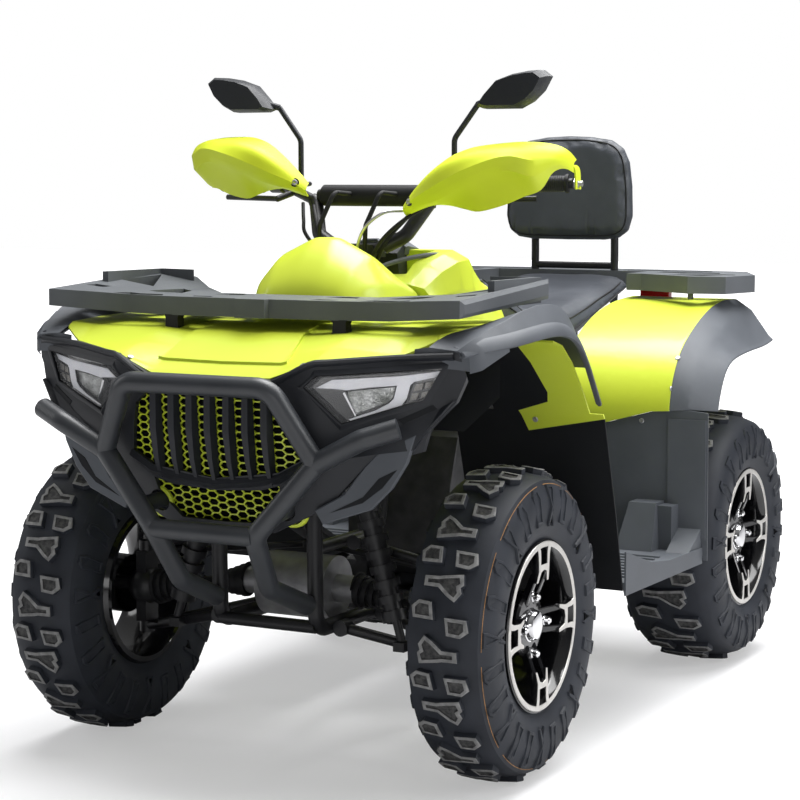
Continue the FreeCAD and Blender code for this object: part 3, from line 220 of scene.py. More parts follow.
# %% Write the material builder
def new_material(name, tones, drift=6.0, roughness=(0.4, 0.5), grain=None, metallic=0.0,
                 coat=0.0, dents=None, specular=0.5):
    """tones: two colours. grain, dents: (scale, height in m) of fine and broad bumps."""
    material = bpy.data.materials.new(name)
    material.use_nodes = True
    tree = material.node_tree
    link = tree.links.new
    surface = tree.nodes["Principled BSDF"]
    for socket, value in (("Metallic", metallic), ("Coat Weight", coat), ("Coat Roughness", 0.06),
                          ("Specular IOR Level", specular)):
        surface.inputs[socket].default_value = value
    place = add_node(tree, "TexCoord").outputs["Object"]
    cloud = add_node(tree, "TexNoise", Scale=drift, Detail=5.0)
    ramp = add_ramp(tree, (0.35, (*tones[0], 1)), (0.68, (*tones[1], 1)))
    gloss = add_node(tree, "MapRange", To_Min=roughness[0], To_Max=roughness[1])
    link(place, cloud.inputs["Vector"])
    link(cloud.outputs["Fac"], ramp.inputs["Fac"])
    link(ramp.outputs["Color"], surface.inputs["Base Color"])
    link(cloud.outputs["Fac"], gloss.inputs["Value"])
    link(gloss.outputs["Result"], surface.inputs["Roughness"])
    normal = None
    for scale, depth in [bumps for bumps in (grain, dents) if bumps]:
        texture = add_node(tree, "TexNoise", Scale=scale, Detail=2.0)
        bump = add_node(tree, "Bump", Distance=depth, Strength=1.0)
        link(place, texture.inputs["Vector"])
        link(texture.outputs["Fac"], bump.inputs["Height"])
        if normal is not None:
            link(normal, bump.inputs["Normal"])
        normal = bump.outputs["Normal"]
    if normal is not None:
        link(normal, surface.inputs["Normal"])
    return material


print("material builder ready")

# %% [markdown]
# ## Paints and plastics
# The hood and fenders are glossy yellow-green mouldings with faint waves, and the
# guards are a duller yellow. Flares, racks and footboards are grained grey
# plastic, and the nose and frame are four kinds of black. Each gets its own tones
# and grain, because the eye tells blacks apart by their sheen. The dullest black is
# real on the arch liners and the cooler, and painted shade where it fills the
# wings' slits, the ledges' slots and the plate that shuts each arch.

# %% Mix the paints and plastics
yellow = new_material("gloss_yellow", ((0.60, 0.71, 0.045), (0.65, 0.765, 0.060)), 3.0,
                      (0.30, 0.40), coat=0.16, dents=(7, 0.0006))
yellow_satin = new_material("satin_yellow", ((0.66, 0.765, 0.030), (0.71, 0.82, 0.040)), 4.0,
                            (0.42, 0.52), (900, 0.00004), specular=0.3)
charcoal = new_material("charcoal_moulding", ((0.078, 0.086, 0.099), (0.094, 0.103, 0.118)), 9.0,
                        (0.46, 0.58), (1400, 0.00014), specular=0.45)
rack_grey = new_material("rack_moulding", ((0.090, 0.098, 0.108), (0.108, 0.117, 0.128)), 9.0,
                         (0.44, 0.56), (1300, 0.00014), specular=0.5)
satin_black = new_material("satin_black", ((0.013, 0.0145, 0.0185), (0.019, 0.021, 0.026)), 7.0,
                           (0.40, 0.52), (1100, 0.00007), specular=0.4)
# Real black for the arch liners and the cooler; painted shade where it stands for the slits, the
# slots and the arch behind the flares' ends.
black_and_painted_shade = new_material("black_and_painted_shade", ((0.006, 0.007, 0.009), (0.010, 0.011, 0.013)), 7.0,
                          (0.55, 0.7), (900, 0.0001), specular=0.25)
matte_black = new_material("matte_black_coat", ((0.026, 0.029, 0.034), (0.035, 0.039, 0.045)), 8.0,
                           (0.36, 0.46), (700, 0.0001), specular=0.65)
frame_black = new_material("frame_black", ((0.010, 0.010, 0.012), (0.018, 0.018, 0.020)), 8.0,
                           (0.32, 0.5), (500, 0.00008), specular=0.4)
gloss_black = new_material("gloss_black", ((0.004, 0.004, 0.005), (0.007, 0.007, 0.008)), 5.0,
                           (0.1, 0.2), coat=0.5)
print("materials so far:", len(bpy.data.materials))

# %% [markdown]
# ## Rubbers, vinyl and lenses
# The tyres are bluish black and scuffed pale on top of the lugs, with dust in
# their pockets. The seat is grained vinyl. The lamps hold bright guides and a
# crumpled silver bowl, which coarse bumps imitate without modelling each facet.

# %% Mix the rubbers, the vinyl and the lenses
rubber = new_material("tyre_rubber", ((0.018, 0.021, 0.028), (0.028, 0.032, 0.042)), 14.0,
                      (0.5, 0.66), (900, 0.00012), specular=0.35)
worn_rubber = new_material("worn_rubber", ((0.15, 0.15, 0.15), (0.29, 0.29, 0.285)), 70.0,
                           (0.6, 0.8), (1500, 0.0002))
pocket_rubber = new_material("pocket_rubber", ((0.020, 0.020, 0.022), (0.085, 0.085, 0.082)), 120.0,
                             (0.6, 0.8), (420, 0.0016))
dark_rubber = new_material("plain_rubber", ((0.008, 0.008, 0.009), (0.014, 0.014, 0.016)), 20.0,
                           (0.5, 0.7), (1100, 0.0001), specular=0.3)
vinyl = new_material("seat_vinyl", ((0.038, 0.043, 0.053), (0.052, 0.058, 0.070)), 12.0,
                     (0.38, 0.5), (520, 0.0004), specular=0.45)
orange = new_material("orange_line", ((0.30, 0.15, 0.05), (0.46, 0.25, 0.10)), 90.0, (0.7, 0.85))
red_lens = new_material("red_lens", ((0.35, 0.006, 0.004), (0.45, 0.01, 0.006)), 9.0,
                        (0.06, 0.12), coat=0.8)
light_guide = new_material("light_guide", ((0.90, 0.91, 0.97), (0.96, 0.96, 1.00)), 60.0,
                           (0.12, 0.3), (260, 0.0006), coat=0.8)
lamp_silver = new_material("lamp_reflector", ((0.16, 0.17, 0.15), (0.62, 0.63, 0.62)), 46.0,
                           (0.10, 0.3), (120, 0.003), metallic=0.6, coat=0.5)
lamp_cell = new_material("lamp_cell", ((0.30, 0.28, 0.25), (0.38, 0.36, 0.33)), 80.0,
                         (0.2, 0.3), (300, 0.0004), coat=0.6)
print("materials so far:", len(bpy.data.materials))

# %% [markdown]
# ## Metals
# The spokes' faces are machined alloy, the gearboxes are cast, and screws and the
# hub caps are bright. A fully metallic surface turns black where nothing bright
# is mirrored, so only the chrome is fully metallic and the alloys are partly so.

# %% Mix the metals
silver = new_material("machined_alloy", ((0.60, 0.58, 0.55), (0.70, 0.68, 0.65)), 30.0,
                      (0.26, 0.4), (700, 0.00004), metallic=0.6)
chrome = new_material("chrome", ((0.80, 0.80, 0.81), (0.88, 0.88, 0.89)), 10.0,
                      (0.03, 0.08), metallic=1.0)
cast_alloy = new_material("cast_alloy", ((0.26, 0.26, 0.27), (0.40, 0.40, 0.41)), 24.0,
                          (0.42, 0.6), (420, 0.0003), metallic=0.7)
engine_grey = new_material("engine_grey", ((0.05, 0.05, 0.053), (0.09, 0.09, 0.094)), 24.0,
                           (0.45, 0.65), (420, 0.0003), metallic=0.5)
steel = new_material("zinc_steel", ((0.42, 0.42, 0.43), (0.55, 0.55, 0.55)), 30.0,
                     (0.28, 0.45), (800, 0.00005), metallic=0.9)
print("materials:", len(bpy.data.materials))

# %% [markdown]
# ## CAD nodes
# Most of the frame, the body panels and the mechanics are already right in the
# CAD model, so they stay and only change their material. Each node names a slot
# in the frame's record, which a table turns into a material.

# %% Give every CAD node its material
BY_SLOT = {
    "frame_black": frame_black, "bumper_black": matte_black, "body_yellow": yellow,
    "charcoal_plastic": charcoal, "nose_black": satin_black, "lamp_clear": gloss_black,
    "lamp_red": red_lens, "seat_vinyl": vinyl, "cast_alloy": cast_alloy,
    "engine_grey": engine_grey, "boot_rubber": dark_rubber, "grip_rubber": dark_rubber,
    "cable_black": dark_rubber, "tyre_rubber": rubber, "rim_alloy": gloss_black,
    "mirror_black": satin_black, "guard_yellow": yellow_satin, "steel_dark": frame_black,
    "muffler_black": frame_black,
}
OWN_MATERIAL = {"front_mudguards": black_and_painted_shade, "front_rack": rack_grey, "rear_rack": rack_grey}
for part in frame["record"]["subparts"]:
    node = part["node"]
    nodes[node].data.materials.clear()
    nodes[node].data.materials.append(OWN_MATERIAL.get(node, BY_SLOT[part["material_slot"]]))

# %% [markdown]
# ## Moulded edges
# Plastic panels have small rounded edges that catch a line of light. The CAD
# solids leave them sharp to stay light. Bevel modifiers round them here without
# touching the CAD meshes, after a weld that closes each mesh's seams.

# %% Round the edges of the mouldings
EDGE_WIDTHS = {
    "front_rack": 0.006, "rear_rack": 0.006, "fascia": 0.0025, "hood": 0.0015,
    "footboards": 0.003, "heel_walls": 0.003, "front_flares": 0.0018, "rear_flares": 0.0018,
    "rear_fenders": 0.0015, "tank_cover": 0.008, "dash": 0.004, "mirrors": 0.004,
    "knee_panels": 0.001, "front_mudguards": 0.001, "tail_lamps": 0.003, "engine": 0.008,
    "front_differential": 0.003, "skid_plate": 0.001,
}
WELD_REACH, EDGE_ANGLE = 0.00002, 32
for name, width in EDGE_WIDTHS.items():
    modifiers = nodes[name].modifiers
    modifiers.new("weld", "WELD").merge_threshold = WELD_REACH
    edges = modifiers.new("edges", "BEVEL")
    edges.width = width
    edges.segments = 3
    edges.limit_method = "ANGLE"
    edges.angle_limit = math.radians(EDGE_ANGLE)
    modifiers.new("shading", "WEIGHTED_NORMAL").weight = 60
print("edges rounded:", len(EDGE_WIDTHS))

# %% [markdown]
# ## Mesh helper
# Tyres, lamps, trim and tubes are all made of loops of points that are bridged,
# capped, swept or turned. Modelling tools would need a separate recipe for each,
# so one small class collects points and faces and serves them all.


# %% Write the mesh helper
def circle(centre, side, up, radius, count):
    """Points about a centre, in the plane of two directions."""
    turns = (2 * math.pi * k / count for k in range(count))
    return [centre + (side * math.cos(a) + up * math.sin(a)) * radius for a in turns]


class Shape:
    """Collects points and faces, then becomes one Blender piece."""

    def __init__(self):
        self.verts, self.faces, self.slots = [], [], []

    def face(self, points, slot=0):
        start = len(self.verts)
        self.verts += [Vector(p) for p in points]
        self.faces.append(tuple(range(start, start + len(points))))
        self.slots.append(slot)

    def loft(self, loops, slot=0, closed=True, caps=(False, False), cap_slot=None):
        """Bridge loops of equal count. slot is one number or one per band."""
        count = len(loops[0])
        start = len(self.verts)
        bands = slot if isinstance(slot, (list, tuple)) else [slot] * (len(loops) - 1)
        for loop in loops:
            self.verts += [Vector(p) for p in loop]
        for i, band in enumerate(bands):
            for k in range(count if closed else count - 1):
                a = start + i * count + k
                b = start + i * count + (k + 1) % count
                self.faces.append((a, b, b + count, a + count))
                self.slots.append(band)
        last = start + (len(loops) - 1) * count
        end = bands[-1] if cap_slot is None else cap_slot
        if caps[0]:
            self.faces.append(tuple(range(start + count - 1, start - 1, -1)))
            self.slots.append(end)
        if caps[1]:
            self.faces.append(tuple(range(last, last + count)))
            self.slots.append(end)

    def sweep(self, path, radius, sides=12, slot=0, caps=(True, True)):
        """A round tube along a line of points. radius is one number or one per point."""
        path = [Vector(p) for p in path]
        side = None
        loops = []
        for i, point in enumerate(path):
            ahead = path[min(i + 1, len(path) - 1)] - path[max(i - 1, 0)]
            ahead.normalize()
            if side is None:
                side = ahead.orthogonal().normalized()
            side = (side - ahead * side.dot(ahead)).normalized()
            r = radius[i] if isinstance(radius, (list, tuple)) else radius
            loops.append(circle(point, side, ahead.cross(side), r, sides))
        self.loft(loops, slot, True, caps)

    def spin(self, line, centre, axis, sides=48, slot=0, caps=(False, False)):
        """Turn a line of (distance along the axis, radius) about the axis."""
        axis = Vector(axis).normalized()
        side = axis.orthogonal().normalized()
        up = axis.cross(side)
        loops = [circle(Vector(centre) + axis * along, side, up, r, sides) for along, r in line]
        self.loft(loops, slot, True, caps)

    def join(self, other):
        """Add another shape's points and faces."""
        start = len(self.verts)
        self.verts += other.verts
        self.faces += [tuple(start + i for i in face) for face in other.faces]
        self.slots += other.slots

    def flipped(self):
        """The same shape on the other side of the vehicle, as a new shape."""
        other = Shape()
        other.verts = [Vector((-p.x, p.y, p.z)) for p in self.verts]
        other.faces = [face[::-1] for face in self.faces]
        other.slots = list(self.slots)
        return other

    def piece(self, name, materials, body, sharp=32.0, slot=None):
        mesh = bpy.data.meshes.new(name)
        mesh.from_pydata(self.verts, [], self.faces)
        for material in materials:
            mesh.materials.append(material)
        mesh.polygons.foreach_set("material_index", self.slots)
        mesh.validate()
        mesh.shade_smooth()
        mesh.set_sharp_from_angle(angle=math.radians(sharp))
        obj = bpy.data.objects.new(name, mesh)
        scene.collection.objects.link(obj)
        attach(obj, body)
        print(name, "faces:", len(mesh.polygons))
        return obj


print("mesh helper ready")

# %% [markdown]
# ## Outline helpers
# Moulded trim has chamfers and rounded corners. Typing every point of them would
# hide what the shape is, so an outline keeps only its corners, and these helpers
# mirror it, move it inward or round it.


# %% Write the outline helpers
def mm(*values):
    """A place typed in millimetres, as a vector in metres."""
    return Vector([v * 0.001 for v in values])


def signed_area(outline):
    return sum(a[0] * b[1] - b[0] * a[1] for a, b in zip(outline, outline[1:] + outline[:1])) / 2


def both_sides(half):
    """A closed outline from its left half, whose ends may lie on the middle line."""
    return half + [(-x, z) for x, z in reversed(half) if x > 0]


def inset(outline, width, sharpest=0.45):
    """The closed flat outline moved inward by width, with mitred corners."""
    count = len(outline)
    sign = 1.0 if signed_area(outline) > 0 else -1.0
    moved = []
    for i in range(count):
        p = Vector(outline[i])
        before = (p - Vector(outline[i - 1])).normalized()
        after = (Vector(outline[(i + 1) % count]) - p).normalized()
        n1 = Vector((-before.y, before.x)) * sign
        n2 = Vector((-after.y, after.x)) * sign
        both = (n1 + n2).normalized()
        moved.append(p + both * (width / max(sharpest, both.dot(n1))))
    return moved


def rounded(points, radius, steps=6, share=0.48):
    """A line of points with its inner corners turned to arcs."""
    points = [Vector(p) for p in points]
    line = [points[0]]
    for i in range(1, len(points) - 1):
        back = points[i - 1] - points[i]
        on = points[i + 1] - points[i]
        reach = min(radius, back.length * share, on.length * share)
        a = points[i] + back.normalized() * reach
        b = points[i] + on.normalized() * reach
        for k in range(steps + 1):
            t = k / steps
            line.append(a * (1 - t) ** 2 + points[i] * 2 * t * (1 - t) + b * t ** 2)
    return line + [points[-1]]


print("a square moved in by 1:", [tuple(p) for p in inset([(0, 0), (4, 0), (4, 4), (0, 4)], 1)])

# %% [markdown]
# ## Smooth lines
# Cables, seams and panels bend without corners. A Blender curve object could draw
# them, but a row of sections has to be smoothed as plain points before it becomes
# a mesh. So a formula draws a line that passes through every typed point.


# %% Write the smooth line helpers
def curve(points, steps=4):
    """A smooth line through all the points, with steps to a span."""
    points = [Vector(p) for p in points]
    ends = [points[0] * 2 - points[1]] + points + [points[-1] * 2 - points[-2]]
    line = []
    for i in range(len(points) - 1):
        a, b, c, d = ends[i:i + 4]
        for k in range(steps):
            t = k / steps
            line.append((b * 2 + (c - a) * t + (a * 2 - b * 5 + c * 4 - d) * t ** 2
                         + (b * 3 - a - c * 3 + d) * t ** 3) * 0.5)
    return line + [points[-1]]


def smooth_rows(rows, steps=4):
    """Rows of equal count, with smooth rows added between them."""
    columns = [curve(column, steps) for column in zip(*rows)]
    return [list(row) for row in zip(*columns)]


print("three points drawn as", len(curve([(0, 0), (1, 1), (2, 0)])), "points")

# %% [markdown]
# ## Tyres
# An off-road tyre has a rounded carcass with tall wedge-shaped lugs, worn pale on
# top, and figures moulded into its sidewalls. Cutting lugs with booleans would be
# slow and ragged. Instead the carcass is one turned profile, and every lug is an
# outline laid on it by distance, raised, and sunk again inside its worn rim. The
# tread repeats every 45 degrees: two big lugs, each the other turned half round,
# with two small ones beside each.

# %% Set the tyre's profile
TYRE_R = 0.310
FRONT_HALF, REAR_HALF = 0.092, 0.127


def carcass_line(half):
    """(distance from the middle, radius) from the crown to the bead."""
    return [(0.0, TYRE_R - 0.012), (0.35 * half, TYRE_R - 0.013), (0.60 * half, TYRE_R - 0.017),
            (0.78 * half, TYRE_R - 0.025), (half - 0.0125, 0.270), (half - 0.0065, 0.252),
            (half - 0.0045, 0.235), (half - 0.007, 0.200), (half - 0.013, 0.182),
            (half - 0.018, 0.172), (half - 0.022, 0.163)]


def along_line(line, distance, height):
    """The point at a distance along the profile, raised square to it."""
    left = abs(distance)
    for i in range(len(line) - 1):
        a, b = Vector(line[i]), Vector(line[i + 1])
        step = (b - a).length
        if left <= step or i == len(line) - 2:
            run = (b - a) / step
            p = a + run * left + Vector((-run.y, run.x)) * height
            return (p.x if distance >= 0 else -p.x), p.y
        left -= step


print("crown and bead:", carcass_line(FRONT_HALF)[0], carcass_line(FRONT_HALF)[-1])

# %% Draw the lugs' outlines
BIG_LUG = [(-38, 19), (-9, 19), (0, 21), (36, 26), (40, 5), (34, 0), (38, -11), (27, -28),
           (11, -19), (-9, -2), (-37, -1)]
SMALL_LUG = [(-21, 17), (21, 15), (24, -7), (11, -19), (-15, -16)]
SMALL_PLACES = ((-32, 47), (32, 75)), ((-32, 66), (32, 60))
D_LUG = [(0, 12), (20, 18), (72, 18), (72, -18), (8, -16), (0, -5)]
STAR_LUG = [(0, 16), (12, 16), (43, 5), (76, 22), (81, 16), (60, 0), (81, -14), (77, -20),
            (43, -6), (12, -16), (0, -16)]
SKIRT, ROUND_OFF, SINK = 0.002, 0.0012, 0.0028


def lay_lug(shape, spot, line, outline, angle, height, band, slots):
    """Raise one lug from its outline of (across, up) in metres, its middle sunk again."""
    side, top, pocket = slots

    def ring(loop, level):
        points = []
        for u, t in loop:
            x, r = along_line(line, u, level)
            points.append(spot(x, r, angle + t / TYRE_R))
        return points

    inner = inset(outline, band)
    loops = [ring(inset(outline, -SKIRT), -2 * SKIRT), ring(outline, height - ROUND_OFF),
             ring(inset(outline, 0.0009), height), ring(inner, height),
             ring(inset(inner, ROUND_OFF), height - SINK)]
    shape.loft(loops, [side, top, top, pocket], True, (False, True), pocket)


print("points of a big and a small lug:", len(BIG_LUG), len(SMALL_LUG))

# %% Lay the tread, the sidewalls' figures and the stripe
TURNS, FIGURES = 8, 24
LUG_HEIGHT, BIG_RIM, SMALL_RIM = 0.012, 0.0066, 0.0062
FIGURE_START, FIGURE_HEIGHT, FIGURE_RIM = 0.084, 0.0045, 0.0058
DASHES, DASH_STEPS, DASH_DRAWN = 8, 24, 21
STRIPE_NEAR, STRIPE_FAR, STRIPE_PROUD = 0.0812, 0.0826, 0.0006
RUBBER, WORN, STRIPE, POCKET = range(4)


def lay_tread(shape, spot, line, wide):
    """The lugs round the crown, leaning in turn to one side and the other."""
    slots = (RUBBER, WORN, POCKET)
    for i in range(2 * TURNS):
        sign = 1 if i % 2 else -1
        angle = i * math.pi / TURNS
        outline = [(sign * wide * u * 0.001, sign * t * 0.001) for u, t in BIG_LUG]
        lay_lug(shape, spot, line, outline, angle, LUG_HEIGHT, BIG_RIM, slots)
        for across, drop in SMALL_PLACES[sign < 0]:
            turned = 1 if across > 0 else -1
            outline = [(sign * wide * (across + turned * u) * 0.001, sign * turned * t * 0.001)
                       for u, t in SMALL_LUG]
            back = angle - drop * 0.001 / TYRE_R
            lay_lug(shape, spot, line, outline, back, LUG_HEIGHT, SMALL_RIM, slots)


def lay_figures(shape, spot, line, half):
    """Blocks on both sidewalls, every third one a star."""
    start = FIGURE_START + (half - FRONT_HALF)
    for side in (1, -1):
        for i in range(FIGURES):
            angle = (i + 0.3) * 2 * math.pi / FIGURES
            figure = STAR_LUG if i % 3 == 0 else D_LUG
            outline = [(side * (start + u * 0.001), side * t * 0.001) for u, t in figure]
            lay_lug(shape, spot, line, outline, angle, FIGURE_HEIGHT, FIGURE_RIM,
                    (RUBBER, RUBBER, RUBBER))


def lay_stripe(shape, spot, line, half, out):
    """A thin orange stripe on the outer sidewall, in dashes."""
    steps = DASHES * DASH_STEPS
    corners = ((0, STRIPE_NEAR), (0, STRIPE_FAR), (1, STRIPE_FAR), (1, STRIPE_NEAR))
    for k in range(steps):
        if k % DASH_STEPS < DASH_DRAWN:
            loop = []
            for j, u in corners:
                x, r = along_line(line, out * (u + half - FRONT_HALF), STRIPE_PROUD)
                loop.append(spot(x, r, 2 * math.pi * (k + j) / steps))
            shape.face(loop, STRIPE)


print("lugs on a tyre:", 2 * TURNS * 3, "figures:", 2 * FIGURES)

# %% [markdown]
# ## Four tyres
# The front tyres are narrower than the rear ones and carry an orange stripe.
# One function builds all four from the axle's place and the tyre's half width,
# and each rides on its own wheel body, so that its lugs turn with the wheel.

# %% Build the tyres
FRONT_AXLE, REAR_AXLE = -0.580, 0.675
FRONT_X, REAR_X = 0.455, 0.435
CARCASS_SIDES = 96


def add_tyre(name, axle, half, out, striped):
    """out is +1 or -1: the side that faces away from the vehicle."""
    def spot(x, r, a):
        return (axle[0] + x, axle[1] - r * math.cos(a), axle[2] + r * math.sin(a))

    shape = Shape()
    line = carcass_line(half)
    profile = [(-x, r) for x, r in reversed(line[1:])] + line
    shape.loft([[spot(x, r, 2 * math.pi * k / CARCASS_SIDES) for k in range(CARCASS_SIDES)]
                for x, r in profile])
    lay_tread(shape, spot, line, half / FRONT_HALF)
    lay_figures(shape, spot, line, half)
    if striped:
        lay_stripe(shape, spot, line, half, out)
    tyre = shape.piece("tread_" + name, [rubber, worn_rubber, orange, pocket_rubber],
                       "wheel_" + name, 30, "tyre_rubber")
    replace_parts(tyre, "tyre_" + name)


for side, s in (("left", 1), ("right", -1)):
    add_tyre("front_" + side, (s * FRONT_X, FRONT_AXLE, TYRE_R), FRONT_HALF, s, True)
    add_tyre("rear_" + side, (s * REAR_X, REAR_AXLE, TYRE_R), REAR_HALF, s, False)

# %% [markdown]
# ## Rims
# A black alloy rim has a deep barrel, a machined ring at its flange, and four
# forked spokes whose bright faces dish in to a chrome cap between four nuts. A
# boolean through a disc would leave poor edges, so the round parts are turned
# profiles, and each leg of a fork is a plate with a bright face on black sides.

# %% Draw the rim's outlines
LEG = [(158, 38), (151, 30), (140, 26.5), (122, 24.5), (110, 24), (88, 28), (88, 22), (108, 14),
       (112, 0), (122, 0), (122, 16.5), (140, 16.5), (151, 18), (158, 21)]
ARM = [(104, 3, 15, 25), (96, 6, 15, 26), (60, 20, 12, 26), (34, 29, 8, 24)]
NUT = [(0.045, 0.011), (0.026, 0.011), (0.022, 0.0105), (0.020, 0.0085), (0.012, 0.0075),
       (0.009, 0.004)]
CAP = [(0.030, 0.034), (0.026, 0.0335), (0.025, 0.031), (0.018, 0.030), (0.0125, 0.0265),
       (0.0105, 0.020), (0.0100, 0.008)]
BLACK, BRIGHT, CHROMED = range(3)


def barrel_line(half):
    """(distance out from the wheel's middle, radius) and the slot of each band."""
    line = [(-half, 0.163), (-half, 0.152), (-half + 0.012, 0.146), (half - 0.030, 0.142),
            (half - 0.012, 0.148), (half - 0.0015, 0.1555), (half - 0.0003, 0.1568),
            (half - 0.0003, 0.1655), (half - 0.0016, 0.167), (half - 0.003, 0.1675),
            (half - 0.004, 0.170), (half - 0.010, 0.169)]
    return line, [BLACK] * 5 + [BRIGHT] * 3 + [BLACK] * 3


def arm_section(near, far, edge=0.002, deep=0.015):
    """(across, down) round a spoke's arm between two distances from its middle."""
    return [(near, deep), (near, edge), (near + edge, 0.0), (far - edge, 0.0), (far, edge),
            (far, deep)]


print("points of a spoke's leg:", len(LEG))

# %% Build the rims
SPOKES, NUT_CIRCLE = 4, 0.056
BRIDGE_R, LEAN = 0.110, 0.14
LEG_THICK = 0.014


def add_spoke(shape, spot, turn, m, out):
    """One leg and one arm of a fork, on the side m of its middle line."""
    def ring(loop, sink):
        return [spot(r, w, turn, sink + max(0.0, BRIDGE_R - r) * LEAN) for r, w in loop]

    leg = [(r * 0.001, m * w * 0.001) for r, w in LEG]
    loops = [ring(inset(leg, -0.0004), LEG_THICK), ring(inset(leg, -0.0004), 0.0008),
             ring(leg, 0.0)]
    if out * m < 0:
        loops = [loop[::-1] for loop in loops]
    shape.loft(loops, [BLACK, BRIGHT], True, (False, True), BRIGHT)
    loops = []
    for r, sink, near, far in ARM:
        section = arm_section(near * 0.001, far * 0.001)
        loops.append([spot(r * 0.001, m * w, turn, sink * 0.001 + down) for w, down in section])
    if out * m > 0:
        loops = [loop[::-1] for loop in loops]
    shape.loft(loops, BLACK, True, (True, True))


def add_rim(name, axle, half, out, depth):
    """half is the distance from the wheel's middle to the ring's plane."""
    shape = Shape()
    axis, centre = Vector((out, 0, 0)), Vector(axle)
    line, bands = barrel_line(half)
    shape.spin(line, centre, axis, 96, bands)
    shape.spin([(-half, 0.163), (-half + 0.01, 0.169)], centre, axis, 64)

    def spot(r, w, turn, sink):
        y = r * math.cos(turn) - w * math.sin(turn)
        z = r * math.sin(turn) + w * math.cos(turn)
        return centre + Vector((out * (half - sink), y, z))

    for i in range(SPOKES):
        turn = i * 2 * math.pi / SPOKES
        for m in (1, -1):
            add_spoke(shape, spot, turn, m, out)
        seat = centre + Vector((0, NUT_CIRCLE * math.cos(turn), NUT_CIRCLE * math.sin(turn)))
        shape.spin([(half - a, r) for a, r in NUT], seat, axis, 12, CHROMED, (False, True))
    shape.spin([(half - depth, 0.062), (half - 0.034, 0.064), (half - 0.029, 0.060),
                (half - 0.027, 0.036)], centre, axis, 48, BLACK, (False, True))
    shape.spin([(half - a, r) for a, r in CAP], centre, axis, 48, CHROMED, (False, True))
    rim = shape.piece("wheel_" + name, [gloss_black, silver, chrome], "wheel_" + name, 30,
                      "rim_alloy")
    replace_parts(rim, "rim_" + name)


for side, s in (("left", 1), ("right", -1)):
    add_rim("front_" + side, (s * FRONT_X, FRONT_AXLE, TYRE_R), 0.082, s, 0.110)
    add_rim("rear_" + side, (s * REAR_X, REAR_AXLE, TYRE_R), 0.112, s, 0.160)

# %% [markdown]
# ## Nose surface
# The nose is one black moulding that curves back toward the wheels. Lamps, ribs
# and grille follow that curve. Snapping flat pieces to it would bend them, so the
# surface is described again by five level lines, and an outline of (across, up)
# in millimetres is laid on it at a chosen depth.

# %% Describe the nose's surface
NOSE_LINES = {
    500: [(0, -890), (130, -886), (215, -870), (360, -820), (420, -790)],
    600: [(0, -925), (130, -922), (215, -905), (360, -850), (440, -815)],
    700: [(0, -945), (130, -943), (215, -930), (360, -875), (470, -830)],
    800: [(0, -953), (130, -951), (215, -940), (360, -880), (482, -815)],
    862: [(0, -948), (130, -946), (215, -931), (360, -858), (469, -836)],
}


def line_y(line, x):
    for (x0, y0), (x1, y1) in zip(line, line[1:]):
        if abs(x) <= x1:
            return y0 + (y1 - y0) * (abs(x) - x0) / (x1 - x0)
    return line[-1][1]


def on_nose(outline, depth):
    """Points of (across, up) in millimetres, at a depth behind the nose's face."""
    levels = sorted(NOSE_LINES)
    points = []
    for x, z in outline:
        z0 = max([level for level in levels[:-1] if level <= z] or [levels[0]])
        z1 = levels[levels.index(z0) + 1]
        t = (z - z0) / (z1 - z0)
        y = line_y(NOSE_LINES[z0], x) * (1 - t) + line_y(NOSE_LINES[z1], x) * t
        points.append(mm(x, y + depth, z))
    return points


def laid(shape, outline, depth, proud, slot=0, edge_slot=None, chamfer=1.0):
    """A plate on the nose: its face is proud of depth and has a chamfered edge."""
    edge_slot = slot if edge_slot is None else edge_slot
    loops = [on_nose(outline, depth), on_nose(outline, depth - proud + chamfer),
             on_nose(inset(outline, chamfer), depth - proud)]
    if signed_area(outline) > 0:
        loops = [loop[::-1] for loop in loops]
    shape.loft(loops, [edge_slot, slot], True, (False, True), slot)


print("nose levels:", sorted(NOSE_LINES))

# %% [markdown]
# ## Headlamps
# Each lamp wraps round a corner of the nose. Behind its lens lie a white light
# guide with a hooked outline, a silver projector and four small cells. Painted on
# one surface they would catch no light, so every element is a plate of its own
# height in the lamp's bowl, and an almost clear lens lies over them.

# %% Build the headlamps
LAMP = [(203, 790), (225, 812), (360, 822), (440, 828), (409, 769), (360, 753), (268, 722)]
GUIDE = [(222, 789), (250, 805), (366, 813), (434, 823), (425, 811), (389, 802), (383, 796),
         (377, 771), (367, 756), (334, 739), (282, 727), (276, 731), (324, 749), (347, 762),
         (355, 771), (361, 795), (315, 791), (275, 785), (256, 787)]
PROJECTOR = [(273, 783), (357, 793), (352, 772), (343, 763), (288, 740), (277, 757)]
BLADE = [(266, 780), (271, 783), (290, 738), (287, 735)]
CELLS = [[(391, 798), (404, 800), (401, 787), (387, 785)],
         [(407, 801), (422, 804), (418, 791), (405, 789)],
         [(385, 781), (397, 782), (392, 769), (381, 767)],
         [(401, 783), (416, 786), (410, 777), (399, 771)]]
BOWL_DEPTH = 20
lamps = Shape()
lamps.loft([on_nose(LAMP, 1.5), on_nose(inset(LAMP, 2), 1.5), on_nose(inset(LAMP, 5), BOWL_DEPTH)],
           0, True, (False, True))
laid(lamps, GUIDE, BOWL_DEPTH, 12, 1, 0)
laid(lamps, PROJECTOR, BOWL_DEPTH, 5, 2, 0)
laid(lamps, BLADE, BOWL_DEPTH, 10, 3)
for cell in CELLS:
    laid(lamps, cell, BOWL_DEPTH, 10, 4, 0)
lamps.join(lamps.flipped())
headlamps = lamps.piece("headlamp_insides",
                        [gloss_black, light_guide, lamp_silver, chrome, lamp_cell],
                        "chassis", 30, "lamp_clear")
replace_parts(headlamps, "headlamps")

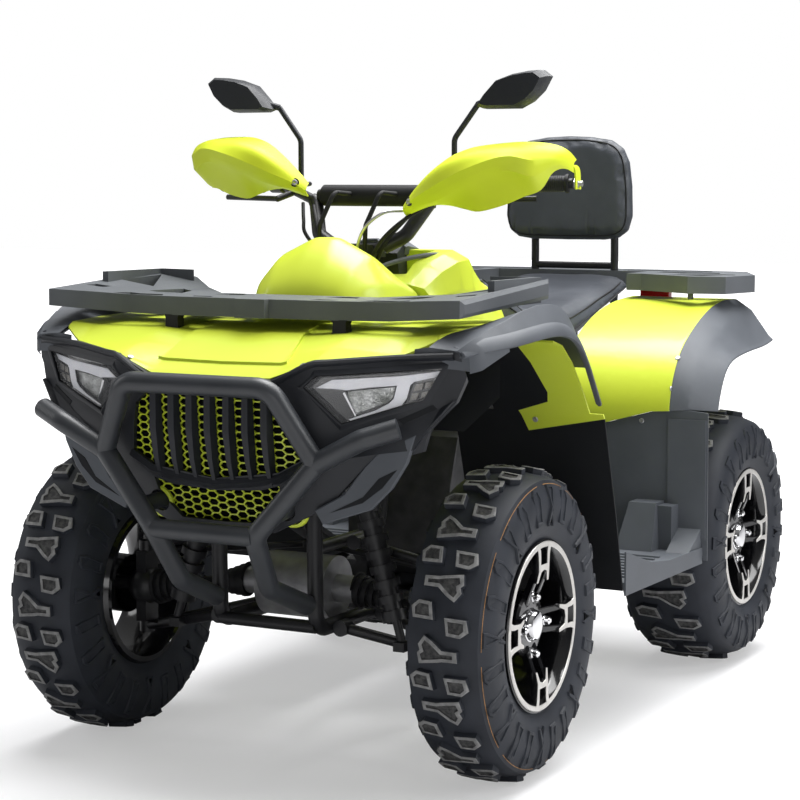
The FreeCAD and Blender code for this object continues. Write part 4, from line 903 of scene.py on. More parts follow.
# %% Glaze the headlamps
LENS_DEPTH, LENS_ALPHA = 2.2, 0.10
lens_clear = new_material("lamp_lens", ((0.80, 0.82, 0.86), (0.92, 0.94, 0.96)), 40.0,
                          (0.03, 0.06), coat=1.0)
lens_clear.node_tree.nodes["Principled BSDF"].inputs["Alpha"].default_value = LENS_ALPHA
lens = Shape()
for corners in ((0, 1, 2, 5, 6), (2, 3, 4, 5)):
    lens.face(on_nose([LAMP[k] for k in corners], LENS_DEPTH))
lens.join(lens.flipped())
lens.piece("headlamp_lenses", [lens_clear], "chassis", 30, "lamp_clear")

# %% [markdown]
# ## Nose wings
# Below the lamps a grey wing slants down and inward on each side, with a long
# slit in it. The slit is painted shade: a thin black plate proud of the wing, not
# an opening. It is flat in reality, so it lies on one tilted plane instead of on
# the nose's curve.

# %% Add the wings
WING = [(400, 706), (384, 652), (356, 604), (316, 562), (222, 530), (205, 556), (262, 588),
        (300, 640), (335, 678)]
SLIT = [(366, 640), (338, 604), (300, 574), (235, 552), (300, 586), (330, 622)]
WING_Y, WING_ACROSS, WING_UP = -952.3, 0.1593, 0.032


def on_wing(outline, forward):
    """The wing's plane, by its slope across and up."""
    return [mm(x, WING_Y + WING_ACROSS * x + WING_UP * z - forward, z) for x, z in outline]


wings = Shape()
wings.loft([on_wing(WING, -6), on_wing(WING, 0), on_wing(inset(WING, 2.5), 2)], 0, True, (True, True))
# Painted shade: the slit is a dark plate laid on the wing, not cut into it.
wings.loft([on_wing(SLIT, 1.6), on_wing(inset(SLIT, 0.8), 2.8)], 1, True, (False, True))
wings.join(wings.flipped())
wings.piece("nose_wings", [charcoal, black_and_painted_shade], "chassis", 28, "nose_black")

# %% [markdown]
# ## Nose ribs
# A raised frame runs round each lamp, a thick lip crosses under the hood, a
# pointed ledge with a slot lies under each lamp, and a V-shaped ridge parts the
# upper grille from the lower. Each is a band of outlines at different depths,
# which gives crisp moulded folds that a bump map would lack.

# %% Add the nose's ribs
TOP_LINE = ((0, 803), (120, 803), (150, 806), (212, 838), (250, 843), (360, 852), (462, 858))
LIP = [(2, 0), (-5, 0), (-8, 3), (-8, 8), (-3, 13), (2, 15)]
LEDGE_TOP = [(285, 668), (340, 702), (372, 722), (437, 755), (462, 771)]
LEDGE_LOW = [(285, 660), (332, 668), (392, 676), (424, 722), (462, 769)]
SLOT = [(366, 732), (424, 761), (431, 753), (374, 724)]
RIDGE = [(-192, 640), (-140, 613), (-70, 602), (0, 595), (70, 602), (140, 613), (192, 640)]

nose = Shape()
nose.loft([on_nose(inset(LAMP, -11), 0.5), on_nose(inset(LAMP, -3), -4), on_nose(LAMP, -4),
           on_nose(LAMP, 3)])
lip_rows = []
for depth, lower in LIP:
    row = on_nose(curve(TOP_LINE, 3), depth)
    for point in row:
        point.z -= lower * 0.001
    lip_rows.append(row)
nose.loft(lip_rows, 0, False)
nose.loft([on_nose(LEDGE_TOP, -1), on_nose(LEDGE_LOW, -13), on_nose(LEDGE_LOW, 3)], 0, False)
# Painted shade: the slot is a thin black plate proud of the ledge, not an opening.
laid(nose, SLOT, 0, 1.5, 1, 1, 0.5)
nose.join(nose.flipped())
nose.loft([on_nose([(x, z + up) for x, z in RIDGE], depth)
           for up, depth in ((11, 1), (0, -9), (-10, -1), (-10, 3))], 0, False)
nose.piece("nose_ribs", [satin_black, black_and_painted_shade], "chassis", 28, "nose_black")

# %% [markdown]
# ## Honeycomb
# Behind the slats stands a yellow mesh of flattened hexagons, pierced by a round
# ring at each lower corner. A pattern in a material would look painted on. Here
# each cell is a thin hexagonal strip with depth, and only cells whose middle lies
# inside the grille's outline are made.

# %% Weave the honeycomb
CELL_X, CELL_Z, STRIP = 20.0, 15.0, 2.8
CELL_LOW, CELL_ROWS, CELL_COLUMNS = 518, 19, 10
MESH_FRONT, MESH_BACK = 12.6, 16.3
HEXAGON = [(-1, 0), (-0.5, 0.5), (0.5, 0.5), (1, 0), (0.5, -0.5), (-0.5, -0.5)]
GRILLE = [(0, 783), (150, 780), (184, 754), (198, 646), (148, 577), (103, 513), (0, 511)]
whole_grille = GRILLE + [(-x, z) for x, z in reversed(GRILLE)]
RING_X, RING_Z, CLEAR_X, CLEAR_R = 147, 548, 146, 34
RING = ((33, 16), (33, 9), (31, 7), (27, 7), (26, 9), (26, 16))


def inside(outline, x, z):
    crossings = 0
    for (x0, z0), (x1, z1) in zip(outline, outline[1:] + outline[:1]):
        if (z0 > z) != (z1 > z) and x < x0 + (x1 - x0) * (z - z0) / (z1 - z0):
            crossings += 1
    return crossings % 2 == 1


honeycomb = Shape()
cell_area = inset(whole_grille, 6)
for column in range(-CELL_COLUMNS, CELL_COLUMNS + 1):
    for row in range(CELL_ROWS):
        x, z = column * CELL_X, CELL_LOW + (row + (column % 2) / 2) * CELL_Z
        if inside(cell_area, x, z) and math.hypot(abs(x) - CLEAR_X, z - RING_Z) >= CLEAR_R:
            outer = [(x + a * CELL_X * 2 / 3, z + b * CELL_Z) for a, b in HEXAGON]
            hole = inset(outer, STRIP / 2)
            honeycomb.loft([on_nose(outer, MESH_FRONT), on_nose(hole, MESH_FRONT),
                            on_nose(hole, MESH_BACK)])
for side in (1, -1):
    loops = []
    for radius, depth in RING:
        loops.append(on_nose([(side * RING_X + radius * math.cos(a), RING_Z + radius * math.sin(a))
                              for a in (math.pi * k / 16 for k in range(32))], depth))
    honeycomb.loft(loops)
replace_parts(honeycomb.piece("honeycomb", [yellow], "chassis", 25, "body_yellow"), "grille")

# %% [markdown]
# ## Cooler core
# Through the mesh one sees the dark fins of a cooler, and no daylight. Level
# ridges stand for the fins, since nobody sees how deep they go, and a black duct
# round them closes the way in.

# %% Fill the grille with the cooler's core
CORE_XS = (-192, -130, -60, 0, 60, 130, 192)
FIN_LOW, FIN_PITCH, FINS = 515, 10.8, 25
FIN = ((0, 30), (7, 24), (9, 30))
core = Shape()
for row in range(FINS):
    z = FIN_LOW + row * FIN_PITCH
    wide = [x * min(1.0, 0.62 + 0.38 * row / 9) for x in CORE_XS]
    core.loft([on_nose([(x, z + up) for x in wide], depth) for up, depth in FIN], 0, False)
core.loft([on_nose(whole_grille, 17.5), on_nose(whole_grille, 33)], 0, True, (False, True))
core.piece("cooler_core", [black_and_painted_shade], "chassis")

# %% [markdown]
# ## Flare ends
# Where the front flares meet the nose, the real moulding folds down into a small
# closed face. Behind it a plate of painted shade, in the dullest black, shuts the
# arch where only its shade shows. Four rows of points follow that fold, because
# one flat plate would leave a gap to the hood.

# %% Close the flares' front ends
FOLD = [[(414, -846, 866), (468, -838, 861), (484, -820, 850), (485, -818, 818), (481, -818, 818)],
        [(416, -815, 877), (480, -812, 876), (501, -805, 861), (503, -803, 824), (499, -803, 824)],
        [(417, -779, 884.5), (489, -778, 888.8), (513, -778, 864), (515, -776, 838),
         (511, -776, 838)],
        [(417, -740, 888.5), (500, -740, 902), (528, -740, 869), (530, -740, 856),
         (526, -740, 856)]]
FRONT_FACE = [(385, -848, 830), (470, -836, 826), (485, -819, 822), (484, -820, 850),
              (468, -838, 861), (414, -846, 866), (385, -846, 862)]
ARCH_PLATE_Y = -650
ARCH_PLATE = [(330, 860), (330, 690), (395, 690), (470, 760), (470, 860)]
ends = Shape()
ends.loft([[mm(*p) for p in row] for row in FOLD], 0, False)
ends.face([mm(*p) for p in FRONT_FACE])
# Painted shade: a flat black plate across the arch, where the arch's shade shows.
ends.face([mm(x, ARCH_PLATE_Y, z) for x, z in ARCH_PLATE], 1)
ends.join(ends.flipped())
ends.piece("flare_ends", [charcoal, black_and_painted_shade], "chassis", 30, "charcoal_plastic")

# %% [markdown]
# ## Pod
# The yellow cover before the handlebar is a smooth hump, like a small tank. The
# CAD solid gives its size in a few flat sections. Smoothing that mesh would
# shrink it, so the same sections are drawn here again with rounded corners and
# joined by smooth lines.

# %% Round the pod
POD = [(-597, (96, 93, 80, 24), (892, 906, 915, 920)),
       (-580, (120, 112, 84, 26), (892, 930, 955, 967)),
       (-550, (144, 126, 92, 28), (892, 955, 989, 1007)),
       (-515, (164, 142, 100, 28), (892, 962, 1010, 1039)),
       (-482, (178, 150, 104, 26), (892, 964, 1019, 1057)),
       (-448, (186, 160, 108, 28), (892, 958, 1006, 1044)),
       (-410, (192, 172, 116, 34), (892, 945, 978, 1008))]
POD_FOOT, POD_CORNER = 892.4, 0.012


def pod_ring(y, xs, zs):
    half = [Vector((x, y, max(z, POD_FOOT))) * 0.001 for x, z in zip(xs, zs)]
    whole = [Vector((-p.x, p.y, p.z)) for p in half] + half[::-1]
    return rounded(whole, POD_CORNER, 3)


pod = Shape()
pod_rows = smooth_rows([pod_ring(*station) for station in POD])
pod.loft(pod_rows, 0, False)
pod.face(pod_rows[0])
pod.face(pod_rows[-1][::-1])
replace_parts(pod.piece("pod_skin", [yellow], "chassis", 40, "body_yellow"), "pod")

# %% [markdown]
# ## Steering well
# The column rises from a well in the cover, edged by a soft rubber bead, with a
# small instrument cowl behind it. A swept tube along the edge and a lofted
# outline are enough, because both are simple mouldings.

# %% Trim the steering well and stand the cowl behind it
WELL_EDGE = [(58, -400, 984), (88, -372, 1001), (120, -330, 1013), (150, -285, 1019),
             (160, -250, 1014), (163, -225, 1004)]
BEAD_R = 0.005
COWL = [(0, 1040), (8, 1051), (43, 1050), (66, 1035), (62, 1018), (40, 1006), (0, 1004)]
COWL_STATIONS = ((0.94, -243, 2), (1, -239, 0), (1.12, -205, 6), (1.2, -180, 26))
well = Shape()
well.sweep(curve([mm(*p) for p in WELL_EDGE], 6), BEAD_R, 8)
well.join(well.flipped())
well.loft([[mm(x * wide, y, z - lower) for x, z in both_sides(COWL)]
           for wide, y, lower in COWL_STATIONS], 0, True, (True, True))
well.piece("well_trim", [charcoal], "chassis", 30, "nose_black")

# %% [markdown]
# ## Hand guards
# A guard is a thin yellow shell that bulges before the hand. Its face has a
# crease, under which a panel steps in, and it ends in a strap bolted to the bar's
# end. A sculpted blob would lose the crease, so the shell is drawn as sections
# across the bar, each given by five points: lower edge, crease, ridge, shoulder
# and top edge.

# %% Draw the guards' sections
GUARD = [(118, [(-352, 1103), (-359, 1107), (-364, 1114), (-360, 1121), (-352, 1128)]),
         (145, [(-356, 1114), (-372, 1120), (-382, 1134), (-375, 1147), (-354, 1160)]),
         (180, [(-352, 1126), (-378, 1130), (-394, 1152), (-386, 1178), (-350, 1194)]),
         (215, [(-346, 1126), (-382, 1143), (-400, 1170), (-390, 1202), (-342, 1221)]),
         (250, [(-342, 1118), (-384, 1160), (-402, 1187), (-386, 1218), (-332, 1237)]),
         (280, [(-336, 1113), (-384, 1172), (-402, 1200), (-380, 1228), (-324, 1244)]),
         (330, [(-322, 1127), (-378, 1193), (-394, 1218), (-366, 1238), (-308, 1250)]),
         (365, [(-312, 1143), (-370, 1196), (-380, 1224), (-354, 1241), (-298, 1252)]),
         (400, [(-302, 1158), (-352, 1184), (-358, 1216), (-334, 1238), (-284, 1250)]),
         (420, [(-296, 1190), (-322, 1200), (-330, 1217), (-312, 1235), (-270, 1246)]),
         (432, [(-280, 1201), (-298, 1208), (-304, 1217), (-292, 1231), (-256, 1240)]),
         (439, [(-258, 1200), (-266, 1206), (-270, 1214), (-264, 1224), (-240, 1232)]),
         (443, [(-230, 1192), (-234, 1197), (-236, 1204), (-232, 1212), (-220, 1219)])]
STEP_START, STEP_GROWS, STEP_FADES, STEP_END = 190, 40, 50, 430
STEP = Vector((0, 0.007, -0.003))
SHELL = 0.0032


def guard_row(x, line):
    """One cross-section; below the crease the face steps in, fading toward the ends."""
    low, crease, ridge, shoulder, top = [mm(x, y, z) for y, z in line]
    rise = min(max((x - STEP_START) / STEP_GROWS, 0), 1)
    fall = min(max((STEP_END - x) / STEP_FADES, 0), 1)
    under = crease + STEP * (rise * fall)
    face = [low, low.lerp(under, 0.5), under, crease, crease.lerp(ridge, 0.5)]
    return face + curve([ridge, shoulder, top])


def inner_rows(rows):
    """The same rows, moved in by the shell's thickness, square to the skin."""
    inner = []
    for i, row in enumerate(rows):
        line = []
        for k, point in enumerate(row):
            along = rows[min(i + 1, len(rows) - 1)][k] - rows[max(i - 1, 0)][k]
            across = row[min(k + 1, len(row) - 1)] - row[max(k - 1, 0)]
            line.append(point - across.cross(along).normalized() * SHELL)
        inner.append(line)
    return inner


def rim(rows):
    """The points round the edge of a grid."""
    return ([row[0] for row in rows] + rows[-1][1:] + [row[-1] for row in rows[-2::-1]]
            + rows[0][-2:0:-1])


guard_rows = smooth_rows([guard_row(*section) for section in GUARD])
print("guard grid:", len(guard_rows), "by", len(guard_rows[0]))

# %% [markdown]
# ## Guard fastenings
# Each shell is held by a screw on a stay near the middle and by a hexagonal bolt
# through its strap. The right guard has turned a little on its bolt: its inner
# end stands higher and its top leans back. A plain mirrored copy would miss that,
# so one function builds a guard and can turn it about the bolt.

# %% Build the hand guards
RIGHT_TILT, RIGHT_PITCH = math.radians(5), math.radians(4)
STRAP = [(442.5, -236, 1208), (444, -220, 1207), (445.5, -208, 1196), (444.5, -200, 1158)]
STRAP_SECTION = ((0, -16, 0), (0, 11, 0), (-3, 11, 0), (-3, -16, 0))
STAY = [(150, -288, 1136), (146, -330, 1130), (142, -372, 1124)]
SCREW_AT, SCREW_WAY = (137, -377, 1131), (-0.35, -0.9, 0.1)
WASHER = [(-0.003, 0.0095), (0.0012, 0.0095), (0.0012, 0.0065)]
SCREW = [(-0.002, 0.0065), (0.003, 0.0062), (0.004, 0.0045), (0.004, 0.0025), (0.002, 0.002)]
BOLT_AT, BOLT_WAY = (441, -200, 1170), (1, 0.15, 0)
BOLT = [(-0.006, 0.0125), (0.003, 0.0125), (0.0035, 0.0065), (0.011, 0.0065), (0.0115, 0.004)]


def build_guard(turn):
    """The skin, its inner face and rim, the strap and the fasteners, turned at the bolt."""
    guard = Shape()
    inner = inner_rows(guard_rows)
    guard.loft(guard_rows, 0, False)
    guard.loft([line[::-1] for line in inner], 0, False)
    guard.loft([rim(inner), rim(guard_rows)])
    strap = curve([mm(*p) for p in STRAP], 5)
    guard.loft([[p + mm(*c) for c in STRAP_SECTION] for p in strap], 0, True, (True, True))
    guard.spin(WASHER, mm(*SCREW_AT), SCREW_WAY, 20, 2)
    guard.spin(SCREW, mm(*SCREW_AT), SCREW_WAY, 16, 1, (False, True))
    guard.sweep([mm(*p) for p in STAY], 0.005, 10, 2)
    pivot = mm(*BOLT_AT)
    if turn is not None:
        guard.verts = [pivot + turn @ (p - pivot) for p in guard.verts]
    guard.spin(BOLT, pivot, BOLT_WAY, 6, 1, (False, True))
    return guard


guards = build_guard(None)
slip = Matrix.Rotation(RIGHT_TILT, 3, "Y") @ Matrix.Rotation(-RIGHT_PITCH, 3, "X")
guards.join(build_guard(slip).flipped())
guard_piece = guards.piece("guard_shells", [yellow_satin, steel, frame_black], "steering", 34,
                           "guard_yellow")
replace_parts(guard_piece, "handguards")

# %% [markdown]
# ## Mirror glasses
# The mirrors' shells are in the CAD model. On the side that faces the rider each
# gets a glass, a thin plate with a small chamfer in the shell's outline. Shiny
# paint on the shell would have no edge, and the glass sits inside a real rim.

# %% Set the mirrors' glasses
MIRROR = [(250, 1330), (264, 1351), (292, 1380), (330, 1393), (368, 1399), (391, 1400),
          (407, 1388), (392, 1361), (369, 1340), (341, 1327), (264, 1327)]
pane = inset(MIRROR, 7)
glass = Shape()
glass.loft([[mm(x, y, z) for x, z in reversed(inset(pane, chamfer))]
            for y, chamfer in ((-257.9, 0), (-256.8, 0), (-256.5, 1.5))], 0, True, (False, True))
glass.join(glass.flipped())
glass.piece("mirror_glasses", [chrome], "steering", 30, "mirror_black")

# %% [markdown]
# ## Bar fittings
# A thick round pad is clipped on the bar's cross tube. Below it two risers lead
# down to the clamp, and switch housings and brake reservoirs sit beside the
# grips, toward the middle. They are mostly round, so they are turned or swept
# along the bar's own line, which no separate modelling of each would follow.

# %% Add the bar's pad, risers, switch housings and reservoirs
PAD = [(-0.117, 0.0135), (-0.117, 0.020), (-0.114, 0.023), (0.114, 0.023), (0.117, 0.020),
       (0.117, 0.0135)]
PAD_AT = (0, -285, 1143)
RISER = [(146, -279, 1132), (138, -281, 1130), (104, -328, 1058), (60, -342, 1035)]
RISER_R, RISER_BEND = 0.0155, 0.012
HOUSINGS = ((236, 272, 0.019), (214, 230, 0.016))
BOX = [(238, -268, 0), (270, -260, 0), (266, -236, 1), (236, -244, 1)]
BOX_LOW, BOX_TOP = 1181, 1190


def on_bar(x):
    """The bar's middle line between its bend and its end."""
    share = (x - 240) / 190
    return mm(x, -246 + share * 46, 1166 + share * 4)


half_bar = Shape()
half_bar.sweep(rounded([mm(*p) for p in RISER], RISER_BEND), RISER_R, 16, 1)
for x0, x1, r in HOUSINGS:
    a, b = on_bar(x0), on_bar(x1)
    half_bar.sweep([a, a.lerp(b, 0.06), a.lerp(b, 0.94), b], [r * 0.86, r, r, r * 0.86], 20, 1)
half_bar.loft([[mm(x, y, z + up) for x, y, up in BOX] for z in (BOX_LOW, BOX_TOP)], 2, True,
              (True, True))
for x in (246, 258):
    half_bar.spin([(0, 0.004), (0.003, 0.004), (0.004, 0.003)],
                  mm(x, -254 + (x - 246) * 0.2, BOX_TOP), (0, 0, 1), 10, 3, (False, True))
bar = Shape()
bar.spin(PAD, mm(*PAD_AT), (1, 0, 0), 24)
bar.join(half_bar)
bar.join(half_bar.flipped())
bar.piece("bar_fittings", [dark_rubber, frame_black, satin_black, steel], "steering", 30,
          "frame_black")

# %% [markdown]
# ## Grips
# A rubber grip has a collar at each end and narrow ribs between. The ribs are fine
# but they show against the light, so they are turned as one long profile instead
# of being drawn as a bump.

# %% Sleeve the grips
BAR_END, BAR_BEND = (430, -200, 1170), (240, -246, 1166)
GRIP_R, RIB_R = 0.0163, 0.0172
OUTER_COLLAR = [(0.008, 0.0150), (0.008, 0.0195), (0.011, 0.0205), (0.015, 0.0195), (0.016, GRIP_R)]
INNER_COLLAR = [(0.128, GRIP_R), (0.129, 0.0195), (0.132, 0.0200), (0.133, 0.0150)]
RIBS, RIB_START, RIB_PITCH = 24, 0.019, 0.0045
grip_line = list(OUTER_COLLAR)
for i in range(RIBS):
    a = RIB_START + i * RIB_PITCH
    grip_line += [(a, GRIP_R), (a + 0.0008, RIB_R), (a + 0.0030, RIB_R), (a + 0.0038, GRIP_R)]
grip_line += INNER_COLLAR
grips = Shape()
grips.spin(grip_line, mm(*BAR_END), mm(*BAR_BEND) - mm(*BAR_END), 20)
grips.join(grips.flipped())
grips.piece("grip_sleeves", [dark_rubber], "steering", 50, "grip_rubber")

# %% [markdown]
# ## Hoses
# Brake hoses and throttle cables arch from the levers forward and down into the
# well. They are fixed at both ends and turn with the bar, so they are rigid tubes
# swept along smooth lines through a few points.

# %% Run the hoses from the bars into the column's well
THROTTLE = (112, -350, 1112), (84, -388, 1108), (48, -400, 1080), (24, -392, 1040), (10, -366, 1000)
LEFT_BRAKE = (150, -330, 1120), (118, -366, 1092), (84, -380, 1060), (58, -376, 1030), (36, -362, 998)
LEFT_SWITCH = (128, -318, 1120), (92, -352, 1072), (70, -362, 1040), (50, -350, 1012), (34, -336, 992)
RIGHT_BRAKE = ((-120, -324, 1120), (-96, -356, 1090), (-84, -368, 1060), (-66, -362, 1030),
               (-34, -350, 996))
RIGHT_SWITCH = ((-150, -318, 1126), (-134, -344, 1090), (-122, -356, 1060), (-80, -352, 1016),
                (-30, -340, 994))
hoses = Shape()
for points, radius, kind in ((THROTTLE, 0.0034, 0), (LEFT_BRAKE, 0.0040, 1),
                             (LEFT_SWITCH, 0.0048, 1), (RIGHT_BRAKE, 0.0045, 1),
                             (RIGHT_SWITCH, 0.0040, 1)):
    hoses.sweep(curve([mm(*p) for p in points], 6), radius, 10, kind)
hoses.piece("control_hoses", [steel, dark_rubber], "steering", 60, "cable_black")

# %% [markdown]
# ## Seat and backrest
# Real pads are foam under stretched vinyl: their faces crown and their edges
# pull in. A smoothed box looks like a block of wood. So each pad starts as a
# closed form a little inside its CAD solid, is remeshed evenly, blown up as cloth
# with its reach capped, and rounded by one subdivision.

# %% Write the padding step
PRESSURE, PUFF_FRAMES, CLOTH_QUALITY = 4.0, 20, 4


def settle(obj):
    """Apply the object's modifiers to its mesh."""
    graph = bpy.context.evaluated_depsgraph_get()
    mesh = bpy.data.meshes.new_from_object(obj.evaluated_get(graph))
    obj.modifiers.clear()
    old = obj.data
    obj.data = mesh
    bpy.data.meshes.remove(old)
    mesh.shade_smooth()


def blow_up(pad, reach):
    """Swell the pad as cloth under pressure, with no point moved past its reach."""
    start = [v.co.copy() for v in pad.data.vertices]
    cloth = pad.modifiers.new("cloth", "CLOTH")
    cloth.settings.quality = CLOTH_QUALITY
    cloth.settings.use_pressure = True
    cloth.settings.uniform_pressure_force = PRESSURE
    cloth.settings.effector_weights.gravity = 0.0
    cloth.point_cache.frame_start = 1
    cloth.point_cache.frame_end = PUFF_FRAMES
    for frame_number in range(1, PUFF_FRAMES + 1):
        scene.frame_set(frame_number)
    settle(pad)
    for vertex, before in zip(pad.data.vertices, start):
        moved = vertex.co - before
        if moved.length > reach:
            vertex.co = before + moved * (reach / moved.length)
    scene.frame_set(1)


def puff(shape, name, voxel, reach):
    """Turn a closed shape into a blown-up pad."""
    pad = shape.piece(name, [vinyl], "chassis", 180, "seat_vinyl")
    skin = pad.modifiers.new("skin", "REMESH")
    skin.mode = "VOXEL"
    skin.voxel_size = voxel
    skin.use_smooth_shade = True
    settle(pad)
    blow_up(pad, reach)
    round_off = pad.modifiers.new("round", "SUBSURF")
    round_off.levels = round_off.render_levels = 1
    settle(pad)
    return pad


print("pads swell for", PUFF_FRAMES, "frames")

# %% [markdown]
# ## Backrest
# The backrest is a rounded pad with a slightly domed front and four short pleats
# where the vinyl was gathered. The pleats are narrower than a voxel, so they are
# pressed in after the simulation, by moving points along each pleat's line.

# %% Pad the backrest
BACK = [(0, 1022), (104, 1024), (146, 1032), (172, 1052), (183, 1090), (181, 1170), (172, 1234),
        (155, 1270), (122, 1293), (62, 1303), (0, 1306)]
BACK_STATIONS = ((804, 34), (808, 14), (816, 4), (829, 1), (840, 5), (846, 18))
PLEATS = [((-146, 1055), (-133, 1108)), ((-99, 1047), (-95, 1088)), ((62, 1049), (64, 1110)),
          ((78, 1047), (82, 1090))]
PLEAT_DEPTH, PLEAT_WIDTH, PLEAT_BACK = 0.0028, 3.5, 826
back_outline = both_sides(BACK)
back = Shape()
back.loft([[mm(x, y, z) for x, z in inset(back_outline, width)][::-1] for y, width in BACK_STATIONS],
          0, True, (True, True))
back_pad = puff(back, "backrest_cushion", 0.005, 0.006)
for vertex in back_pad.data.vertices:
    x, y, z = (c * 1000 for c in vertex.co)
    if y > PLEAT_BACK:
        continue
    for (x0, z0), (x1, z1) in PLEATS:
        t = (z - z0) / (z1 - z0)
        if -0.3 < t < 1.0:
            away = (x - (x0 + (x1 - x0) * t)) / PLEAT_WIDTH
            vertex.co.y += PLEAT_DEPTH * math.exp(-away * away) * min(1 - t, 1, (t + 0.3) * 4)
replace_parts(back_pad, "backrest_pad")
print("backrest faces:", len(back_pad.data.polygons))

# %% [markdown]
# ## Seat
# The long saddle dips for the rider, rises to the tank cover in front and to the
# passenger's place behind. Nine cross-sections, half of each typed, give its
# lines, and the same puffing turns them into a soft cover.

# %% Pad the seat
SEAT = [(14, [(0, 884), (120, 884), (147, 890), (157, 924), (128, 962), (100, 970), (0, 972)]),
        (100, [(0, 838), (130, 838), (158, 846), (169, 886), (146, 922), (112, 934), (0, 932)]),
        (200, [(0, 794), (140, 794), (164, 802), (176, 848), (158, 872), (130, 884), (0, 880)]),
        (300, [(0, 782), (145, 782), (169, 790), (183, 830), (168, 856), (140, 868), (0, 862)]),
        (400, [(0, 779), (148, 779), (173, 786), (188, 820), (172, 848), (145, 862), (0, 856)]),
        (510, [(0, 808), (145, 808), (170, 814), (187, 843), (172, 866), (145, 880), (0, 876)]),
        (620, [(0, 844), (140, 844), (164, 850), (186, 870), (170, 890), (146, 900), (0, 898)]),
        (740, [(0, 871), (134, 871), (156, 877), (176, 893), (162, 910), (136, 921), (0, 920)]),
        (846, [(0, 899), (124, 899), (148, 904), (166, 916), (150, 932), (126, 943), (0, 944)])]
seat = Shape()
seat.loft([[mm(x, y, z) for x, z in both_sides(half)] for y, half in SEAT], 0, True, (True, True))
seat_pad = puff(seat, "seat_cushion", 0.008, 0.006)
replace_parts(seat_pad, "seat")
print("seat faces:", len(seat_pad.data.polygons))

# %% [markdown]
# ## Piping
# A thin cord of vinyl runs along the seams of both pads. It has to lie on the
# blown-up skin, whose shape isn't known before the simulation, so its points are
# the skin's nearest points to the sections' corners.

# %% Sew the piping
SEAMS = ((SEAT, 4, 0.0022), (SEAT[:-1], 3, 0.0018))
BACK_SEAM_Y, BACK_SEAM_INSET = 806, 16


def on_pad(pad, place):
    """The pad's nearest point, raised a little off the skin."""
    _, spot, normal, _ = pad.closest_point_on_mesh(place)
    return spot + normal * 0.0004


piping = Shape()
for m in (1, -1):
    for sections, corner, radius in SEAMS:
        seam = [on_pad(seat_pad, mm(m * half[corner][0], y, half[corner][1])) for y, half in sections]
        piping.sweep(curve(seam, 8), radius, 8)
seam = [on_pad(back_pad, mm(x, BACK_SEAM_Y, z)) for x, z in inset(back_outline, BACK_SEAM_INSET)]
piping.sweep(curve(seam + seam[:1], 6), 0.0018, 8, 0, (False, False))
piping.piece("seat_piping", [dark_rubber], "chassis", 60, "seat_vinyl")

# %% [markdown]
# ## Flare rims
# The front flares' outer edges are rolled over like the rim of a bowl. The CAD
# flare is a plain wall there, and a bevel could only round it. So a rolled section
# is carried along its edge, turned at every place to lean with the wall.

# %% Roll the front flares' outer edges
FLARE_EDGE = [(-832, 478, 852, 462, 864), (-780, 512, 862, 488, 888), (-720, 534, 868, 504, 908),
              (-650, 543, 874, 511, 926), (-580, 546, 878, 514, 935), (-520, 546, 876, 515, 935),
              (-470, 546, 866, 515, 928), (-430, 546, 846, 515, 912), (-392, 546, 812, 514, 884),
              (-352, 545, 766, 512, 846), (-315, 544, 722, 511, 798)]
ROLL = [(-9, 4), (-5, -3), (1, -4), (3.5, 0), (4, 18), (0.5, 26), (-4, 20)]
rolls = []
for y, x, z, shoulder_x, shoulder_z in FLARE_EDGE:
    up = Vector((shoulder_x - x, shoulder_z - z)).normalized()
    out = Vector((up.y, -up.x))
    rolls.append([mm(x + out.x * a + up.x * b, y, z + out.y * a + up.y * b) for a, b in ROLL])
rims = Shape()
rims.loft(smooth_rows(rolls, 3), 0, True, (True, True))
rims.join(rims.flipped())
rims.piece("flare_rims", [charcoal], "chassis", 40, "charcoal_plastic")

# %% [markdown]
# ## Screws
# Bright screws hold the panels. A screw typed at a place would hover or sink, so
# each is set at the panel's nearest point and stands square to its surface.

# %% Set screws on the body panels
SCREW_HEAD = [(0, 0.0062), (0.0012, 0.0060), (0.0022, 0.0045), (0.0022, 0.0026), (0.0008, 0.0022)]
SCREW_PLACES = [("hood", 186, -930, 850), ("rear_fenders", 480, 330, 800),
                ("rear_fenders", 470, 318, 700), ("heel_walls", 405, 245, 621),
                ("heel_walls", 531, 325, 630), ("knee_panels", 508, -396, 814),
                ("knee_panels", 390, -292, 680), ("fascia", 395, -860, 710),
                ("tank_cover", 190, -120, 760)]


def nearest(node, x, y, z):
    """A CAD node's nearest point to a place in millimetres, and its normal."""
    _, spot, normal, _ = nodes[node].closest_point_on_mesh(mm(x, y, z))
    return spot, normal


screws = Shape()
for node, x, y, z in SCREW_PLACES:
    spot, normal = nearest(node, x, y, z)
    screws.spin(SCREW_HEAD, spot, normal, 14, 0, (False, True))
screws.join(screws.flipped())
screws.piece("panel_screws", [steel], "chassis", 34, "steel_dark")

# %% [markdown]
# ## Rack feet and foot ribs
# The front rack stands on short black blocks on the hood, and the footboards have
# cross ribs that keep a boot from slipping. Both start from the CAD surfaces: a
# foot's base is the hood's own height there, and a rib spans the board's floor.

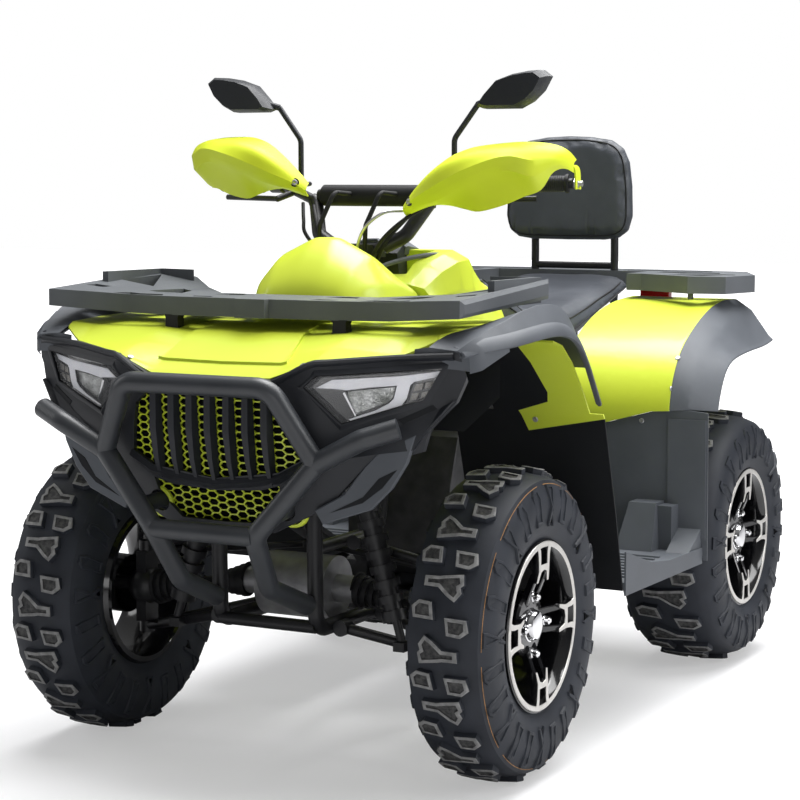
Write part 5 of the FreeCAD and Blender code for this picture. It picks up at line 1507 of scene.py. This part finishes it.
# %% Stand the rack on feet and rib the footboards
FOOT_X, FOOT_Y, FOOT_TOP, FOOT_SUNK = 190, -768, 906, 1.5
FOOT = ((0, 20, 12), (0.2, 15, 11.5), (0.8, 14, 11.5), (1, 17, 11.5))
RIB_COUNT, FIRST_RIB, RIB_STEP = 9, -112, 34
RIB_ENDS, RIB_LEVEL = (268, 505), 380
RIB_WIDE, RIB_UP = Vector((0, 0.006, 0)), Vector((0, 0, 0.004))
feet = Shape()
foot_base = nearest("hood", FOOT_X, FOOT_Y, 860)[0].z * 1000 - FOOT_SUNK
foot_loops = []
for share, wide, deep in FOOT:
    z = foot_base + (FOOT_TOP - foot_base) * share
    foot_loops.append([mm(FOOT_X + a * wide, FOOT_Y + b * deep, z)
                       for a, b in ((-1, -1), (1, -1), (1, 1), (-1, 1))])
feet.loft(foot_loops, 0, True, (True, True))
for k in range(RIB_COUNT):
    y = FIRST_RIB + k * RIB_STEP
    ends = [nearest("footboards", x, y, RIB_LEVEL)[0] for x in RIB_ENDS]
    floor_z = min(p.z for p in ends)
    a, b = [Vector((p.x, y * 0.001, floor_z)) for p in ends]
    feet.loft([[a - RIB_WIDE * w + RIB_UP * up, b - RIB_WIDE * w + RIB_UP * up,
                b + RIB_WIDE * w + RIB_UP * up, a + RIB_WIDE * w + RIB_UP * up]
               for w, up in ((1, -1), (0.6, 1))], 1, True, (False, True))
feet.join(feet.flipped())
feet.piece("rack_feet", [frame_black, charcoal], "chassis", 30, "frame_black")

# %% [markdown]
# ## Engine covers
# The engine is one plain block in the CAD model, and little of it shows between
# the panels. Two round bolted covers and a row of cooling fins on each side are
# enough to read as an engine, and they take their places from the block's box.

# %% Bolt covers and fins to the engine
COVERS = ((0.055, -0.03, 0.088, 0.010), (-0.085, 0.01, 0.050, 0.008))
COVER_BOLTS, COVER_BOLT = 8, [(0, 0.0055), (0.004, 0.0055), (0.005, 0.004)]
FIN_COUNT, FIN_TOP, FIN_GAP = 6, 0.022, 0.011
FIN_LOOPS = ((-0.006, 0.075, 0.100, 0.0000, 0.0040), (0.005, 0.082, 0.107, 0.0005, 0.0035))


def cover_line(radius, deep):
    """A domed cover with a sunk ring round its hub."""
    return [(-0.012, radius), (deep * 0.5, radius), (deep, radius * 0.92), (deep, radius * 0.5),
            (deep * 0.55, radius * 0.44), (deep * 0.55, radius * 0.16), (deep, radius * 0.12)]


low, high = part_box("engine")
middle_y, middle_z = (low[1] + high[1]) / 2, (low[2] + high[2]) / 2
covers = Shape()
for side, face_x in ((1, high[0]), (-1, low[0])):
    for dy, dz, radius, deep in COVERS:
        middle = Vector((face_x, middle_y + dy, middle_z + dz))
        covers.spin(cover_line(radius, deep), middle, (side, 0, 0), 40, 0, (False, True))
        for k in range(COVER_BOLTS):
            a = 2 * math.pi * k / COVER_BOLTS + 0.3
            away = Vector((side * deep * 0.5, math.cos(a) * radius, math.sin(a) * radius))
            covers.spin(COVER_BOLT, middle + away, (side, 0, 0), 6, 1, (False, True))
    for k in range(FIN_COUNT):
        z = high[2] - FIN_TOP - k * FIN_GAP
        covers.loft([[Vector((face_x + side * out, y, z + up))
                      for y, up in ((low[1] + front, under), (high[1] - back, under),
                                    (high[1] - back, over), (low[1] + front, over))]
                     for out, front, back, under, over in FIN_LOOPS], 0, True, (True, True))
covers.piece("engine_covers", [cast_alloy, steel], "chassis", 32, "cast_alloy")
